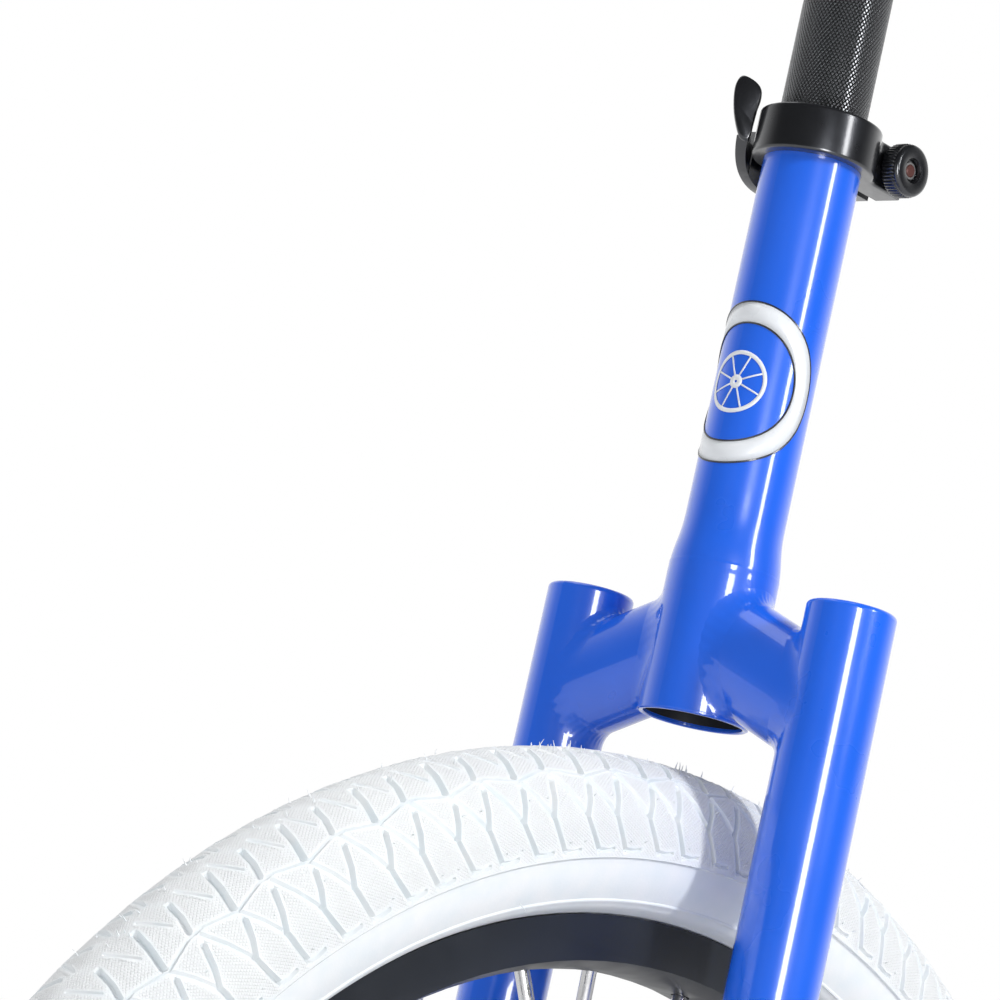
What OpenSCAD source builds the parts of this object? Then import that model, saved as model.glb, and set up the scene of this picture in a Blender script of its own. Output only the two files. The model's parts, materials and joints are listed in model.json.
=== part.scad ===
// Unicycle with a 20 inch wheel, millimetres.
// X points forward, Y to the rider's left, Z up.  The origin is where the tyre meets the ground.
// The cranks lie level, the left one forward.

/* [Tyre and rim] */
// Radius of the tyre over its tread
wheel_r = 253; // [230:1:280]
// Radius of the tyre's round section
tyre_section_r = 25.6; // [22:0.2:27]
// Thickness of the tyre's casing and tread
tyre_wall = 3; // [2:0.5:4]
// Wall of the inner tube
tube_wall = 1.2; // [0.8:0.1:2]
// Depth of the rim's flat side band
rim_band = 12.5; // [10:0.5:16]
// Width of the rim outside
rim_w = 28.7; // [28:0.1:34]
// Thickness of the rim's side walls
rim_wall = 1.75; // [1.2:0.05:2.5]
// How far the rim's round belly stands below its side band
rim_belly = 3.4; // [2:0.2:6]
// Thickness of the rim tape
tape_t = 0.8; // [0.5:0.1:1.5]
// Diameter of the valve stem
valve_d = 7.7; // [6:0.1:8.2]
// Length of the valve stem that shows below the rim
valve_len = 30; // [20:1:40]

/* [Spokes and hub] */
// Number of spokes on one side of the wheel
side_spokes = 18; // [18:1:18]
// Thickness of a spoke
spoke_d = 2; // [1.8:0.1:2.3]
// Diameter of the circle of spoke holes in a hub flange
flange_pcd = 54; // [46:1:64]
// Distance between the middles of the two hub flanges
flange_gap = 54; // [44:1:60]
// Thickness of a hub flange
flange_t = 3; // [2.5:0.5:4.5]
// Diameter of the hub's barrel
barrel_d = 34; // [28:1:40]
// Diameter of the axle inside the hub
axle_d = 22; // [20:1:26]
// Side of the square at each end of the axle
square_w = 12.7; // [10:0.1:13.5]

/* [Bearings] */
// Bore of a wheel bearing
bearing_bore = 17; // [15:1:18]
// Outside diameter of a wheel bearing
bearing_od = 40; // [38:1:44]
// Width of a wheel bearing
bearing_w = 12; // [11:1:14]
// Diameter of a bearing ball
ball_d = 7.2; // [6:0.1:7.4]
// Number of balls in a bearing
balls = 8; // [6:1:8]

/* [Frame] */
// Distance between the middles of the two legs
leg_gap = 96.4; // [90:0.2:110]
// Diameter of a leg tube
leg_d = 25.4; // [22:0.2:28]
// Wall of the leg tubes and crossbars
leg_wall = 1.6; // [1.2:0.1:2.5]
// Height of the leg tops above the crossbars' middle lines
leg_above_bar = 30.4; // [18:0.1:50]
// Rounding of a leg's closed top
leg_top_round = 1.5; // [0.5:0.5:4]
// Height of a crossbar's middle line at the neck, above the neck's lower end
bar_above_neck = 24.5; // [18:0.1:40]
// How far a crossbar's middle line falls from the neck to the leg
bar_rise = 19.9; // [5:0.1:25]
// Height of a crossbar's oval section
bar_h = 32; // [26:1:34]
// Width of a crossbar's oval section
bar_w = 24; // [20:1:25]
// Radius of the tight ends of a crossbar's oval
bar_end_r = 10; // [8:0.5:11]
// Wall of the neck tube, where the seat post goes in
neck_wall = 1.52; // [1.2:0.02:3]
// How far the neck's wider lower end stands out from the neck tube
neck_flare = 1.6; // [1.2:0.1:3]
// Wall of the neck's lower end
neck_low_wall = 1.6; // [1.2:0.1:2.5]
// Room between the tyre and the neck's lower end
crown_room = 14.9; // [9:0.1:27]
// Height of the middle of the step from the wide neck to the narrow neck, above the lower end
step_up = 47.9; // [44:0.1:62]
// Length of that step
neck_step_len = 10; // [6:1:16]
// Length of the neck
neck_len = 175.1; // [152:0.1:212]
// Width of the slit at the back of the neck's top
slit_w = 2.6; // [2:0.1:4]
// Length of that slit
slit_len = 38; // [25:1:50]
// Wall of a bearing seat around its bearing
seat_wall = 6; // [5:0.5:10]
// Width of a bearing seat and of its cap
seat_w = 18; // [14:1:20]
// Distance of a cap bolt's middle line from its bearing seat
cap_bolt_off = 5; // [4:0.5:10]
// Thickness of a bearing seat's lug and of a cap's lug
lug_t = 9; // [7:0.5:12]
// Thread diameter of a cap bolt
cap_bolt_d = 6; // [5:1:6]

/* [Seat clamp] */
// Height of the clamp collar
collar_h = 13.6; // [11:0.2:18]
// Thickness of the clamp collar around the neck
collar_wall = 3.7; // [2.7:0.1:5.7]
// How far the neck goes up into the collar
collar_cover = 11; // [8:0.5:12]
// Distance of the skewer's middle line from the neck's surface
skewer_off = 8.7; // [7.7:0.1:12.7]
// Thickness of the skewer
skewer_d = 5; // [4:0.5:6]
// Distance between the outer faces of the collar's ears
ears_w = 21; // [18:0.5:24]
// Width of the collar's gap between its ears
ears_gap = 3; // [2:0.5:4]
// Radius of the hollow that blends an ear into the collar
ear_fillet = 6; // [4:0.5:8]
// Diameter of the knurled nut
nut_d = 15.8; // [13:0.2:19]
// Thickness of the knurled nut
nut_t = 6.6; // [5:0.2:9]
// Radius of the lever's cam
cam_r = 6.4; // [5.5:0.1:7]
// How far the cam is off centre
cam_throw = 0.6; // [0.3:0.1:1]
// Diameter of the pin that the lever turns on
cam_pin_d = 7; // [6.5:0.1:7.5]
// Thickness of the cam's shoe
shoe_t = 3; // [2.5:0.1:4]
// Thickness of the lever's arm
arm_t = 3.4; // [2.5:0.1:4]
// Height of the lever's arm
arm_h = 11; // [9:0.5:13]
// Room between the lever's arm and the collar
arm_room = 1.8; // [1:0.1:3]

/* [Seat post] */
// Diameter of the seat post
post_d = 25.4; // [22:0.2:25.8]
// Wall of the seat post
post_wall = 2; // [1.5:0.1:3]
// Length of the seat post's tube
post_len = 214; // [190:2:216]
// Height of the seat post that shows above the neck
post_show = 98; // [88:1:110]
// Length of the plate on top of the seat post
plate_l = 84; // [70:1:100]
// Width of that plate
plate_w = 50; // [40:1:60]
// Thickness of that plate
plate_t = 4; // [3:0.5:6]
// Distance between the saddle bolts along the saddle
bolts_l = 64; // [54:1:66]
// Distance between the saddle bolts across the saddle
bolts_w = 32; // [30:1:36]
// Thread diameter of a saddle bolt
saddle_bolt_d = 6; // [5:1:6]

/* [Saddle] */
// Distance from the post's middle line to the saddle's nose
saddle_front = 132; // [110:1:150]
// Distance from the post's middle line to the saddle's tail
saddle_rear = 142; // [115:1:150]
// Width of the saddle's tail
tail_w = 158; // [130:1:180]
// Width of the saddle's waist
waist_w = 88; // [76:1:110]
// Width of the saddle's nose
nose_w = 104; // [90:1:120]
// Radius of the saddle's sag, measured under its base
sag_r = 240; // [210:5:300]
// Thickness of the saddle's base
base_t = 3.5; // [3:0.5:5]
// Thickness of the foam
foam_t = 27; // [18:1:32]
// Thickness of the saddle's cover
cover_t = 1.6; // [1:0.1:2.5]
// Thickness of the bumpers
bumper_t = 4; // [3:0.5:6]
// Height of the bumpers up the saddle's sides
bumper_h = 17; // [12:1:22]
// Length of each bumper along the saddle
bumper_l = 46; // [35:1:60]
// Height of the boss under the saddle's base
boss_h = 8; // [7:0.5:10]

/* [Cranks and pedals] */
// Length of a crank, from axle to pedal
crank_len = 127; // [100:1:150]
// Diameter of a crank's big end
crank_big_d = 35; // [30:1:42]
// Diameter of a crank's small end
crank_small_d = 27; // [24:1:30]
// Thickness of a crank
crank_t = 13; // [11:0.5:16]
// Room between a leg and a crank
crank_room = 5.1; // [4.1:0.1:11]
// Room between a bearing seat and a crank's big end
crank_boss_room = 1.8; // [1.8:0.1:5]
// Thread diameter of a pedal
pedal_thread_d = 14.3; // [12.7:0.1:14.5]
// Diameter of a pedal's spindle inside the pedal
spindle_d = 12; // [10:0.5:12]
// Length of a pedal along the crank at rest
pedal_l = 96; // [80:1:110]
// Width of a pedal across the unicycle
pedal_w = 88; // [76:1:100]
// Thickness of a pedal
pedal_t = 26; // [24:1:32]
// Thickness of the bars that a pedal is made of
pedal_bar = 9; // [7:0.5:12]
// Room between a pedal and its crank
pedal_room = 9; // [7:0.5:12]
// Length of a pedal reflector
reflector_l = 56; // [40:1:70]

/* [Hidden] */
$fn = 96;

// Clearances and overlaps
eps = 1;                  // how far a cut runs past the face that it opens
run_fit = 0.05;           // radial room of a shaft that turns
post_fit = 0.08;          // radial room of the post in the neck
seat_fit = 0.03;          // radial room of a bearing in its seat
bolt_room = 0.2;          // radial room of a bolt in its hole
skin_gap = 0.3;           // room between soft pieces and their neighbours

// Sizes that follow from others. The heights are above the wheel's centre
neck_bottom = wheel_r + crown_room;
neck_step = neck_bottom + step_up;
neck_top = neck_bottom + neck_len;
bar_high = neck_bottom + bar_above_neck;
bar_low = bar_high - bar_rise;
leg_top = bar_low + leg_above_bar;
neck_d = post_d + 2 * (post_fit + neck_wall);
neck_low_d = neck_d + 2 * neck_flare;
collar_d = neck_d + 2 * collar_wall;
skewer_back = neck_d / 2 + skewer_off;
seat_r = bearing_od / 2 + seat_wall;
cap_bolt_x = seat_r + cap_bolt_off;
crank_in = (leg_gap + leg_d) / 2 + crank_room;
crank_boss = crank_in - (leg_gap + seat_w) / 2 - crank_boss_room;

// Heights above the ground
hub_z = wheel_r;
neck_bottom_z = hub_z + neck_bottom;
neck_step_z = hub_z + neck_step;
neck_top_z = hub_z + neck_top;
leg_top_z = hub_z + leg_top;
collar_z = neck_top_z - collar_cover;
skewer_z = collar_z + collar_h / 2;
post_top_z = neck_top_z + post_show;
saddle_z = post_top_z + plate_t;

// Wheel
section_mid_r = wheel_r - tyre_section_r;
rim_inner_step = 8;       // depth of the tyre's well in the rim
tuck = 7.3;               // how far the rim's edge reaches up into the tyre's section
rim_top_r = wheel_r - 2 * tyre_section_r + tuck;
rim_band_r = rim_top_r - rim_band;
rim_belly_r = rim_band_r - rim_belly;
rim_half = rim_w / 2;
well_half = rim_half - rim_wall;
ledge_r = rim_top_r - rim_inner_step;
trough_half = well_half - 3.2;
trough_r = rim_belly_r + 2.4;
bead_t = 2.6;             // thickness of the tyre's bead
bead_gap = 0.15;          // room between the bead and the rim's wall
bead_join = 8;            // the casing is thicker up to this far above the rim
tube_room = 0.3;          // room between the inner tube and the tyre near its beads
tube_r = tyre_section_r - tyre_wall - 2;
nipple_d = 4.2;
nipple_len = 12;
nipple_head_d = 6;
nipple_head_t = 1;
nipple_lift = 0.8;        // the head stands this far off the trough, as the nipple leans
nipple_hole_d = 5.4;
tape_r = trough_r + nipple_lift + nipple_head_t + 0.6;
spoke_stagger = 2.5;      // the rim's holes lie this far to each side of its middle
spoke_cross = 3;          // each spoke crosses this many others of its side
spoke_head_d = 3.8;
spoke_head_t = 1.2;
elbow_swell = 0.03;       // a spoke is this much thicker at its elbow
spoke_pitch = 360 / side_spokes;
first_spoke = -90 + spoke_pitch / 4;
flange_r = flange_pcd / 2 + 3.5;
spoke_run = sqrt(pow(trough_r, 2) + pow(flange_pcd / 2, 2)
    - trough_r * flange_pcd * cos(spoke_cross * spoke_pitch));
// A spoke on a flange's outer face leans inwards, so it starts further out to clear the edge.
spoke_lean = 1.15 * flange_gap / 2 / spoke_run * sqrt(pow(flange_r, 2) - pow(flange_pcd / 2, 2));
spoke_in = flange_t / 2 + spoke_d / 2 + 0.1;
spoke_out = spoke_in + spoke_lean;
barrel_len = flange_gap + flange_t;

// Bearings and axle
bearing_y = leg_gap / 2;
bearing_in = bearing_y - bearing_w / 2;
bearing_out = bearing_y + bearing_w / 2;
ball_pitch_r = (bearing_bore + bearing_od) / 4;
race_gap = 3.6;           // radial gap between the two races
inner_race_r = ball_pitch_r - race_gap / 2;
outer_race_r = ball_pitch_r + race_gap / 2;
ball_room = 0.05;
cage_t = 1.6;
cage_w = bearing_w - 3.2;
seal_t = 0.8;
square_in = bearing_out + 3;
axle_end = crank_in + crank_t - 6;
crank_bolt_d = 8;
crank_bolt_len = 16;
recess_d = 23;            // the crank's round recess over its bolt
recess_depth = 5;

// Frame
neck_bore_r = post_d / 2 + post_fit;
neck_low_bore_r = neck_low_d / 2 - neck_low_wall;
bar_lean = atan(bar_rise / bearing_y);
bar_len = sqrt(bar_rise * bar_rise + bearing_y * bearing_y);
bar_end_off = bar_h / 2 - bar_end_r;
bar_half_diff = bar_w / 2 - bar_end_r;
// The side arcs are tangent to the end arcs, which fixes how far off centre they lie.
bar_side_off = (bar_end_off * bar_end_off - bar_half_diff * bar_half_diff) / (2 * bar_half_diff);
bar_side_r = bar_side_off + bar_w / 2;
cap_gap = 0.6;            // the cap and the seat don't quite meet, so the bolts pinch
lug_end_x = cap_bolt_x + 6;
cap_head_d = 10;
cap_head_t = 6;
hex_key = 5;

// Seat clamp
ear_half = ears_w / 2;
ear_end = skewer_back + 6;
collar_r = collar_d / 2;
lip_r = post_d / 2 + 0.3;
nut_boss_d = 11;
nut_boss_t = 1.2;
nut_recess_d = 7;
skewer_short = 1.4;       // the skewer's thread ends this far inside the nut's face
cam_y = -(ear_half + shoe_t + cam_r - cam_throw);
arm_in_r = collar_r + arm_room;
arm_out_r = arm_in_r + arm_t;
arm_mid_x = -skewer_back + 16;   // the arm's side view is an arc about this point
arm_mid_z = skewer_z + 13.4;
arm_arc_r = 21;
arm_front = -46;          // bearing of the arm's front end, seen from the post
arm_back = -124;          // bearing where the arm's web takes over
tab_top_w = 7.4;
tab_low_w = 4.8;
tab_t = 3.4;
tab_low_z = skewer_z - 1.5;
tab_top_z = skewer_z + 17;
tab_bearing = -50;
tab_mid_r = (arm_in_r + arm_out_r) / 2;

// Saddle
sag_mid_z = saddle_z + sag_r;
base_top_r = sag_r - base_t;
foam_top_r = base_top_r - foam_t;
saddle_mid_x = (saddle_front - saddle_rear) / 2;
saddle_half_l = (saddle_front + saddle_rear) / 2;
saddle_bolt_up = boss_h - 1;
saddle_bolt_down = 12;
nut_flat = 10;            // width of an M6 nut over its flats
saddle_nut_t = 5;
washer_d = 14;
washer_t = 1.2;
screw_d = 4;
screw_head_d = 8;
screw_head_t = 2.4;

// Pedals
pedal_in = crank_in + crank_t + pedal_room;
pedal_out = pedal_in + pedal_w;
pedal_barrel_r = pedal_t / 2 - 0.5;
bushing_wall = 2;
bushing_len = 12;
bushing_r = spindle_d / 2 + run_fit + bushing_wall;
spindle_hex = 15;
spindle_hex_t = 5;
spindle_end = pedal_out - 10;
pedal_cap_t = 3;
reflector_h = 13;
reflector_t = 3;

// ---------- shared shapes ----------

// A cylinder along Y from y0 to y1, on the wheel's axle line.
module bar_y(r, y0, y1, x = 0, z = hub_z) {
    translate([x, y0, z]) rotate([-90, 0, 0]) cylinder(h = y1 - y0, r = r);
}

// A ring along Y.
module ring_y(r_out, r_in, y0, y1, x = 0, z = hub_z) {
    difference() {
        bar_y(r_out, y0, y1, x, z);
        bar_y(r_in, y0 - eps, y1 + eps, x, z);
    }
}

// Turns an outline drawn as (radius, sideways) round the wheel's axle.
module turn_round_axle() {
    translate([0, 0, hub_z]) rotate([90, 0, 0]) rotate_extrude() children();
}

// The same shape on the left as drawn, or mirrored to the right.
module on_side(side) {
    if (side > 0) children();
    if (side < 0) mirror([0, 1, 0]) children();
}

// A round rod from one point to another.
module rod(from, to, r) {
    run = to - from;
    translate(from)
        rotate([0, acos(run[2] / norm(run)), atan2(run[1], run[0])])
            cylinder(h = norm(run), r = r);
}

// ---------- frame ----------

module neck_outline() {
    step0 = neck_step_z - neck_step_len / 2;
    step1 = neck_step_z + neck_step_len / 2;
    polygon([
        [neck_low_bore_r, neck_bottom_z], [neck_low_d / 2, neck_bottom_z],
        [neck_low_d / 2, step0], [neck_d / 2, step1], [neck_d / 2, neck_top_z],
        [neck_bore_r, neck_top_z], [neck_bore_r, step1], [neck_low_bore_r, step0],
    ]);
}

module neck_tube() {
    color("royalblue")
    difference() {
        rotate_extrude() neck_outline();
        translate([-neck_d, -slit_w / 2, neck_top_z - slit_len])
            cube([neck_d, slit_w, slit_len + eps]);
        translate([0, 0, neck_top_z - slit_len])
            rotate([0, -90, 0]) cylinder(h = neck_d, r = slit_w);
    }
}

// The oval of a crossbar, shrunk by a wall's thickness for its hollow.
module bar_oval(wall) {
    side_r = bar_side_r - wall;
    end_r = bar_end_r - wall;
    join_h = bar_end_off * bar_side_r / (bar_side_r - bar_end_r);
    intersection() {
        translate([-bar_side_off, 0]) circle(r = side_r);
        translate([bar_side_off, 0]) circle(r = side_r);
        square([bar_w, 2 * join_h - 2 * wall], center = true);
    }
    for (end = [-1, 1])
        translate([0, end * bar_end_off]) circle(r = end_r);
}

module bar_run(wall) {
    translate([0, 0, hub_z + bar_high])
        rotate([-90 - bar_lean, 0, 0])
            linear_extrude(height = bar_len) bar_oval(wall);
}

module crossbar(side) {
    color("royalblue")
    on_side(side)
    difference() {
        bar_run(0);
        bar_run(leg_wall);
        translate([0, 0, hub_z + bar_low - bar_h])
            cylinder(h = bar_rise + 3 * bar_h, r = neck_low_d / 2);
        translate([0, bearing_y, hub_z + bar_low - bar_h])
            cylinder(h = bar_rise + 3 * bar_h, r = leg_d / 2);
    }
}

module leg_outline() {
    r = leg_d / 2;
    flat_r = r - leg_top_round;
    translate([0, hub_z]) square([r, leg_top - leg_top_round]);
    translate([0, hub_z]) square([flat_r, leg_top]);
    translate([flat_r, leg_top_z - leg_top_round]) circle(r = leg_top_round);
}

module leg(side) {
    color("royalblue")
    on_side(side)
    difference() {
        translate([0, bearing_y, 0]) rotate_extrude() leg_outline();
        translate([0, bearing_y, hub_z])
            cylinder(h = leg_top - 2 * leg_wall, r = leg_d / 2 - leg_wall);
        bar_y(seat_r, bearing_y - leg_d, bearing_y + leg_d);
    }
}

// Half of a bearing housing, above the joint line for up = 1 and below it for up = -1.
module seat_half(side, up) {
    y0 = bearing_y - seat_w / 2;
    face = up > 0 ? 0 : cap_gap;
    on_side(side)
    difference() {
        union() {
            bar_y(seat_r, y0, y0 + seat_w);
            translate([-lug_end_x, y0, hub_z - lug_t]) cube([2 * lug_end_x, seat_w, 2 * lug_t]);
        }
        bar_y(bearing_od / 2 + seat_fit, y0 - eps, y0 + seat_w + eps);
        translate([-lug_end_x - eps, y0 - eps, up > 0 ? hub_z - 2 * seat_r : hub_z - face])
            cube([2 * (lug_end_x + eps), seat_w + 2 * eps, 2 * seat_r + (up > 0 ? 0 : face)]);
        for (x = [-cap_bolt_x, cap_bolt_x])
            translate([x, bearing_y, hub_z - 2 * lug_t])
                cylinder(h = 4 * lug_t, r = cap_bolt_d / 2 + (up > 0 ? run_fit : bolt_room));
    }
}

module bearing_seat(side) {
    color("royalblue") seat_half(side, 1);
}

module bearing_cap(side) {
    color("royalblue") seat_half(side, -1);
}

module bearing_cap_bolts() {
    head_z = hub_z - lug_t - cap_head_t;
    color("silver")
    for (side = [-1, 1], x = [-cap_bolt_x, cap_bolt_x])
        translate([x, side * bearing_y, head_z])
            difference() {
                union() {
                    cylinder(h = cap_head_t, r = cap_head_d / 2);
                    cylinder(h = cap_head_t + 2 * lug_t + 1, r = cap_bolt_d / 2);
                }
                translate([0, 0, -eps]) cylinder(h = cap_head_t / 2 + eps, d = hex_key, $fn = 6);
            }
}

// ---------- wheel bearings ----------

module ball_groove() {
    turn_round_axle() translate([ball_pitch_r, -bearing_y]) circle(r = ball_d / 2 + ball_room);
}

module outer_race() {
    difference() {
        ring_y(bearing_od / 2, outer_race_r, bearing_in, bearing_out);
        ball_groove();
    }
}

module inner_race() {
    difference() {
        ring_y(inner_race_r, bearing_bore / 2 + run_fit, bearing_in, bearing_out);
        ball_groove();
    }
}

module at_balls() {
    for (i = [0 : balls - 1])
        translate([0, bearing_y, hub_z])
            rotate([0, i * 360 / balls, 0]) translate([ball_pitch_r, 0, 0]) children();
}

module cage() {
    difference() {
        ring_y(ball_pitch_r + cage_t / 2, ball_pitch_r - cage_t / 2,
               bearing_y - cage_w / 2, bearing_y + cage_w / 2);
        at_balls() rotate([0, 90, 0])
            cylinder(h = 4 * cage_t, r = ball_d / 2 + ball_room, center = true);
    }
}

module seal(y0) {
    ring_y(outer_race_r - run_fit, inner_race_r + 0.2, y0, y0 + seal_t);
}

module bearing_outer_races() {
    color("lightgray") for (side = [-1, 1]) on_side(side) outer_race();
}

module bearing_inner_races() {
    color("lightgray") for (side = [-1, 1]) on_side(side) inner_race();
}

module bearing_balls() {
    color("whitesmoke") for (side = [-1, 1]) on_side(side) at_balls() sphere(r = ball_d / 2);
}

module bearing_cages() {
    color("goldenrod") for (side = [-1, 1]) on_side(side) cage();
}

module bearing_seals() {
    color("black")
    for (side = [-1, 1]) on_side(side) {
        seal(bearing_in + 0.2);
        seal(bearing_out - 0.2 - seal_t);
    }
}

// ---------- wheel ----------

// The tyre's section from the outside: the round casing and the beads that go down into the rim.
module tyre_outside() {
    bead_out = well_half - bead_gap;
    translate([ledge_r + skin_gap, -bead_out]) square([tyre_section_r, 2 * bead_out]);
    difference() {
        translate([section_mid_r, 0]) circle(r = tyre_section_r);
        translate([rim_top_r + skin_gap - tyre_section_r, -tyre_section_r])
            square([tyre_section_r, 2 * tyre_section_r]);
    }
}

// The space inside the tyre: wide under the tread, narrower above the beads, and a throat.
module tyre_inside() {
    bead_in = well_half - bead_gap - bead_t;
    r = tyre_section_r - tyre_wall;
    translate([ledge_r, -bead_in]) square([tyre_section_r, 2 * bead_in]);
    translate([section_mid_r, 0]) circle(r = tube_r + tube_room);
    difference() {
        translate([section_mid_r, 0]) circle(r = r);
        translate([rim_top_r + bead_join - r, -r]) square([r, 2 * r]);
    }
}

module tyre() {
    color("whitesmoke")
    turn_round_axle() difference() {
        tyre_outside();
        tyre_inside();
    }
}

module inner_tube() {
    color("dimgray")
    difference() {
        turn_round_axle() translate([section_mid_r, 0])
            difference() {
                circle(r = tube_r);
                circle(r = tube_r - tube_wall);
            }
        translate([0, 0, -eps]) cylinder(h = hub_z - rim_top_r, r = valve_d / 2);
    }
}

module valve_stem() {
    stem_end = rim_belly_r - valve_len;
    color("dimgray")
    translate([0, 0, hub_z - section_mid_r + tube_r - 2 * tube_wall])
        cylinder(h = section_mid_r - tube_r + 2 * tube_wall - stem_end, r = valve_d / 2);
}

module valve_cap() {
    cap_len = 11;
    cap_wall = 1.2;
    thread_gap = 0.1;
    mouth_z = hub_z - rim_belly_r + valve_len - cap_len + 2;
    color("black")
    difference() {
        translate([0, 0, mouth_z]) cylinder(h = cap_len, r = valve_d / 2 + cap_wall);
        translate([0, 0, mouth_z - eps])
            cylinder(h = cap_len - 2 + eps, r = valve_d / 2 + thread_gap);
    }
}

module rim_outline() {
    difference() {
        polygon([
            [rim_top_r, -rim_half], [rim_top_r, rim_half], [rim_band_r, rim_half],
            [rim_belly_r + 1, rim_half * 0.66], [rim_belly_r, rim_half * 0.3],
            [rim_belly_r, -rim_half * 0.3], [rim_belly_r + 1, -rim_half * 0.66],
            [rim_band_r, -rim_half],
        ]);
        translate([ledge_r, -well_half]) square([2 * rim_band, 2 * well_half]);
        translate([trough_r, -trough_half]) square([2 * rim_band, 2 * trough_half]);
    }
}

// Bearing of spoke i round the rim, in degrees from +X towards +Z.
function rim_angle(side, i) = first_spoke + spoke_pitch * (i + (side > 0 ? 0 : 0.5));
function hub_angle(side, i) = rim_angle(side, i) + (i % 2 == 0 ? 1 : -1) * spoke_cross * spoke_pitch;
function on_wheel(r, angle, y) = [r * cos(angle), y, hub_z + r * sin(angle)];
function rim_point(side, i) = on_wheel(trough_r, rim_angle(side, i), side * spoke_stagger);
function hub_y(side, i) = side * (flange_gap / 2 + (i % 2 == 0 ? spoke_out : -spoke_in));
function hub_point(side, i) = on_wheel(flange_pcd / 2, hub_angle(side, i), hub_y(side, i));
function spoke_way(side, i) =
    (rim_point(side, i) - hub_point(side, i)) / norm(rim_point(side, i) - hub_point(side, i));

module rim() {
    color("black")
    difference() {
        turn_round_axle() rim_outline();
        for (side = [-1, 1], i = [0 : side_spokes - 1])
            rod(on_wheel(rim_belly_r - 2, rim_angle(side, i), side * spoke_stagger),
                on_wheel(ledge_r, rim_angle(side, i), side * spoke_stagger), nipple_hole_d / 2);
        translate([0, 0, hub_z - ledge_r])
            cylinder(h = 2 * rim_band, r = valve_d / 2 + bolt_room);
    }
}

module rim_tape() {
    color("orangered")
    difference() {
        ring_y(tape_r + tape_t, tape_r, -trough_half + skin_gap, trough_half - skin_gap);
        translate([0, 0, hub_z - ledge_r])
            cylinder(h = 2 * rim_band, r = valve_d / 2 + bolt_room);
    }
}

// A spoke: its elbow and head in the flange, and its straight run into the nipple.
module spoke(side, i) {
    from = hub_point(side, i);
    to = rim_point(side, i) - spoke_way(side, i) * 3;
    inward = i % 2 == 0 ? -side : side;
    through = (i % 2 == 0 ? spoke_out : spoke_in) + flange_t / 2 + 0.1;
    head = from + [0, inward * through, 0];
    rod(from, to, spoke_d / 2);
    rod(from - [0, inward * spoke_d / 2, 0], head, spoke_d / 2 + elbow_swell);
    rod(head, head + [0, inward * spoke_head_t, 0], spoke_head_d / 2);
}

module spokes(side) {
    color("silver") for (i = [0 : side_spokes - 1]) spoke(side, i);
}

module nipple(side, i) {
    way = spoke_way(side, i);
    seat = rim_point(side, i) + way * nipple_lift;
    difference() {
        union() {
            rod(seat - way * nipple_len, seat, nipple_d / 2);
            rod(seat - way * 0.2, seat + way * nipple_head_t, nipple_head_d / 2);
        }
        rod(seat - way * (nipple_len + eps), rim_point(side, i) - way * 3, spoke_d / 2 + run_fit);
    }
}

module spoke_nipples() {
    color("silver") for (side = [-1, 1], i = [0 : side_spokes - 1]) nipple(side, i);
}

module hub_shell() {
    flange_y = flange_gap / 2;
    color("silver")
    difference() {
        union() {
            bar_y(barrel_d / 2, -barrel_len / 2, barrel_len / 2);
            for (side = [-1, 1])
                bar_y(flange_r, side * flange_y - flange_t / 2, side * flange_y + flange_t / 2);
        }
        bar_y(axle_d / 2, -barrel_len, barrel_len);
        for (side = [-1, 1], i = [0 : side_spokes - 1])
            rod(on_wheel(flange_pcd / 2, hub_angle(side, i), side * (flange_y - flange_t)),
                on_wheel(flange_pcd / 2, hub_angle(side, i), side * (flange_y + flange_t)),
                spoke_d / 2 + bolt_room);
    }
}

module axle() {
    color("gray")
    difference() {
        union() {
            bar_y(axle_d / 2, -bearing_in, bearing_in);
            bar_y(bearing_bore / 2, -square_in, square_in);
            intersection() {
                translate([-square_w / 2, -axle_end, hub_z - square_w / 2])
                    cube([square_w, 2 * axle_end, square_w]);
                bar_y(bearing_bore / 2, -axle_end - eps, axle_end + eps);
            }
        }
        for (side = [-1, 1]) on_side(side)
            bar_y(crank_bolt_d / 2 + run_fit, axle_end - crank_bolt_len, axle_end + eps);
    }
}

// ---------- cranks ----------

// A crank drawn forwards on the left; turned half round and mirrored it is the right one.
module crank_outline() {
    circle(r = crank_big_d / 2);
    translate([crank_len, 0]) circle(r = crank_small_d / 2);
    polygon([
        [0, crank_big_d * 0.4], [crank_len, crank_small_d * 0.4],
        [crank_len, -crank_small_d * 0.4], [0, -crank_big_d * 0.4],
    ]);
}

module place_crank(side) {
    mirror([side > 0 ? 0 : 1, 0, 0]) on_side(side) children();
}

module crank(side) {
    crank_out = crank_in + crank_t;
    color("silver")
    place_crank(side)
    difference() {
        union() {
            translate([0, crank_out, hub_z]) rotate([90, 0, 0])
                linear_extrude(height = crank_t) crank_outline();
            bar_y(crank_big_d / 2, crank_in - crank_boss, crank_in + eps);
        }
        translate([-square_w / 2, crank_in - crank_boss - eps, hub_z - square_w / 2])
            cube([square_w, axle_end - crank_in + crank_boss + 1.5, square_w]);
        bar_y(crank_bolt_d / 2 + bolt_room, axle_end - eps, crank_out + eps);
        bar_y(recess_d / 2, crank_out - recess_depth, crank_out + eps);
        bar_y(pedal_thread_d / 2, crank_in - eps, crank_out + eps, x = crank_len);
    }
}

module crank_bolts() {
    head_t = 2.6;
    head_y = crank_in + crank_t - recess_depth;
    color("silver")
    for (side = [-1, 1]) on_side(side)
        difference() {
            union() {
                bar_y(crank_bolt_d / 2, axle_end - crank_bolt_len + 2, head_y + eps);
                bar_y(recess_d / 2 - 3, head_y, head_y + head_t);
            }
            translate([0, head_y + head_t + eps, hub_z]) rotate([90, 0, 0])
                cylinder(h = 2 + eps, d = crank_bolt_d, $fn = 6);
        }
}

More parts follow.
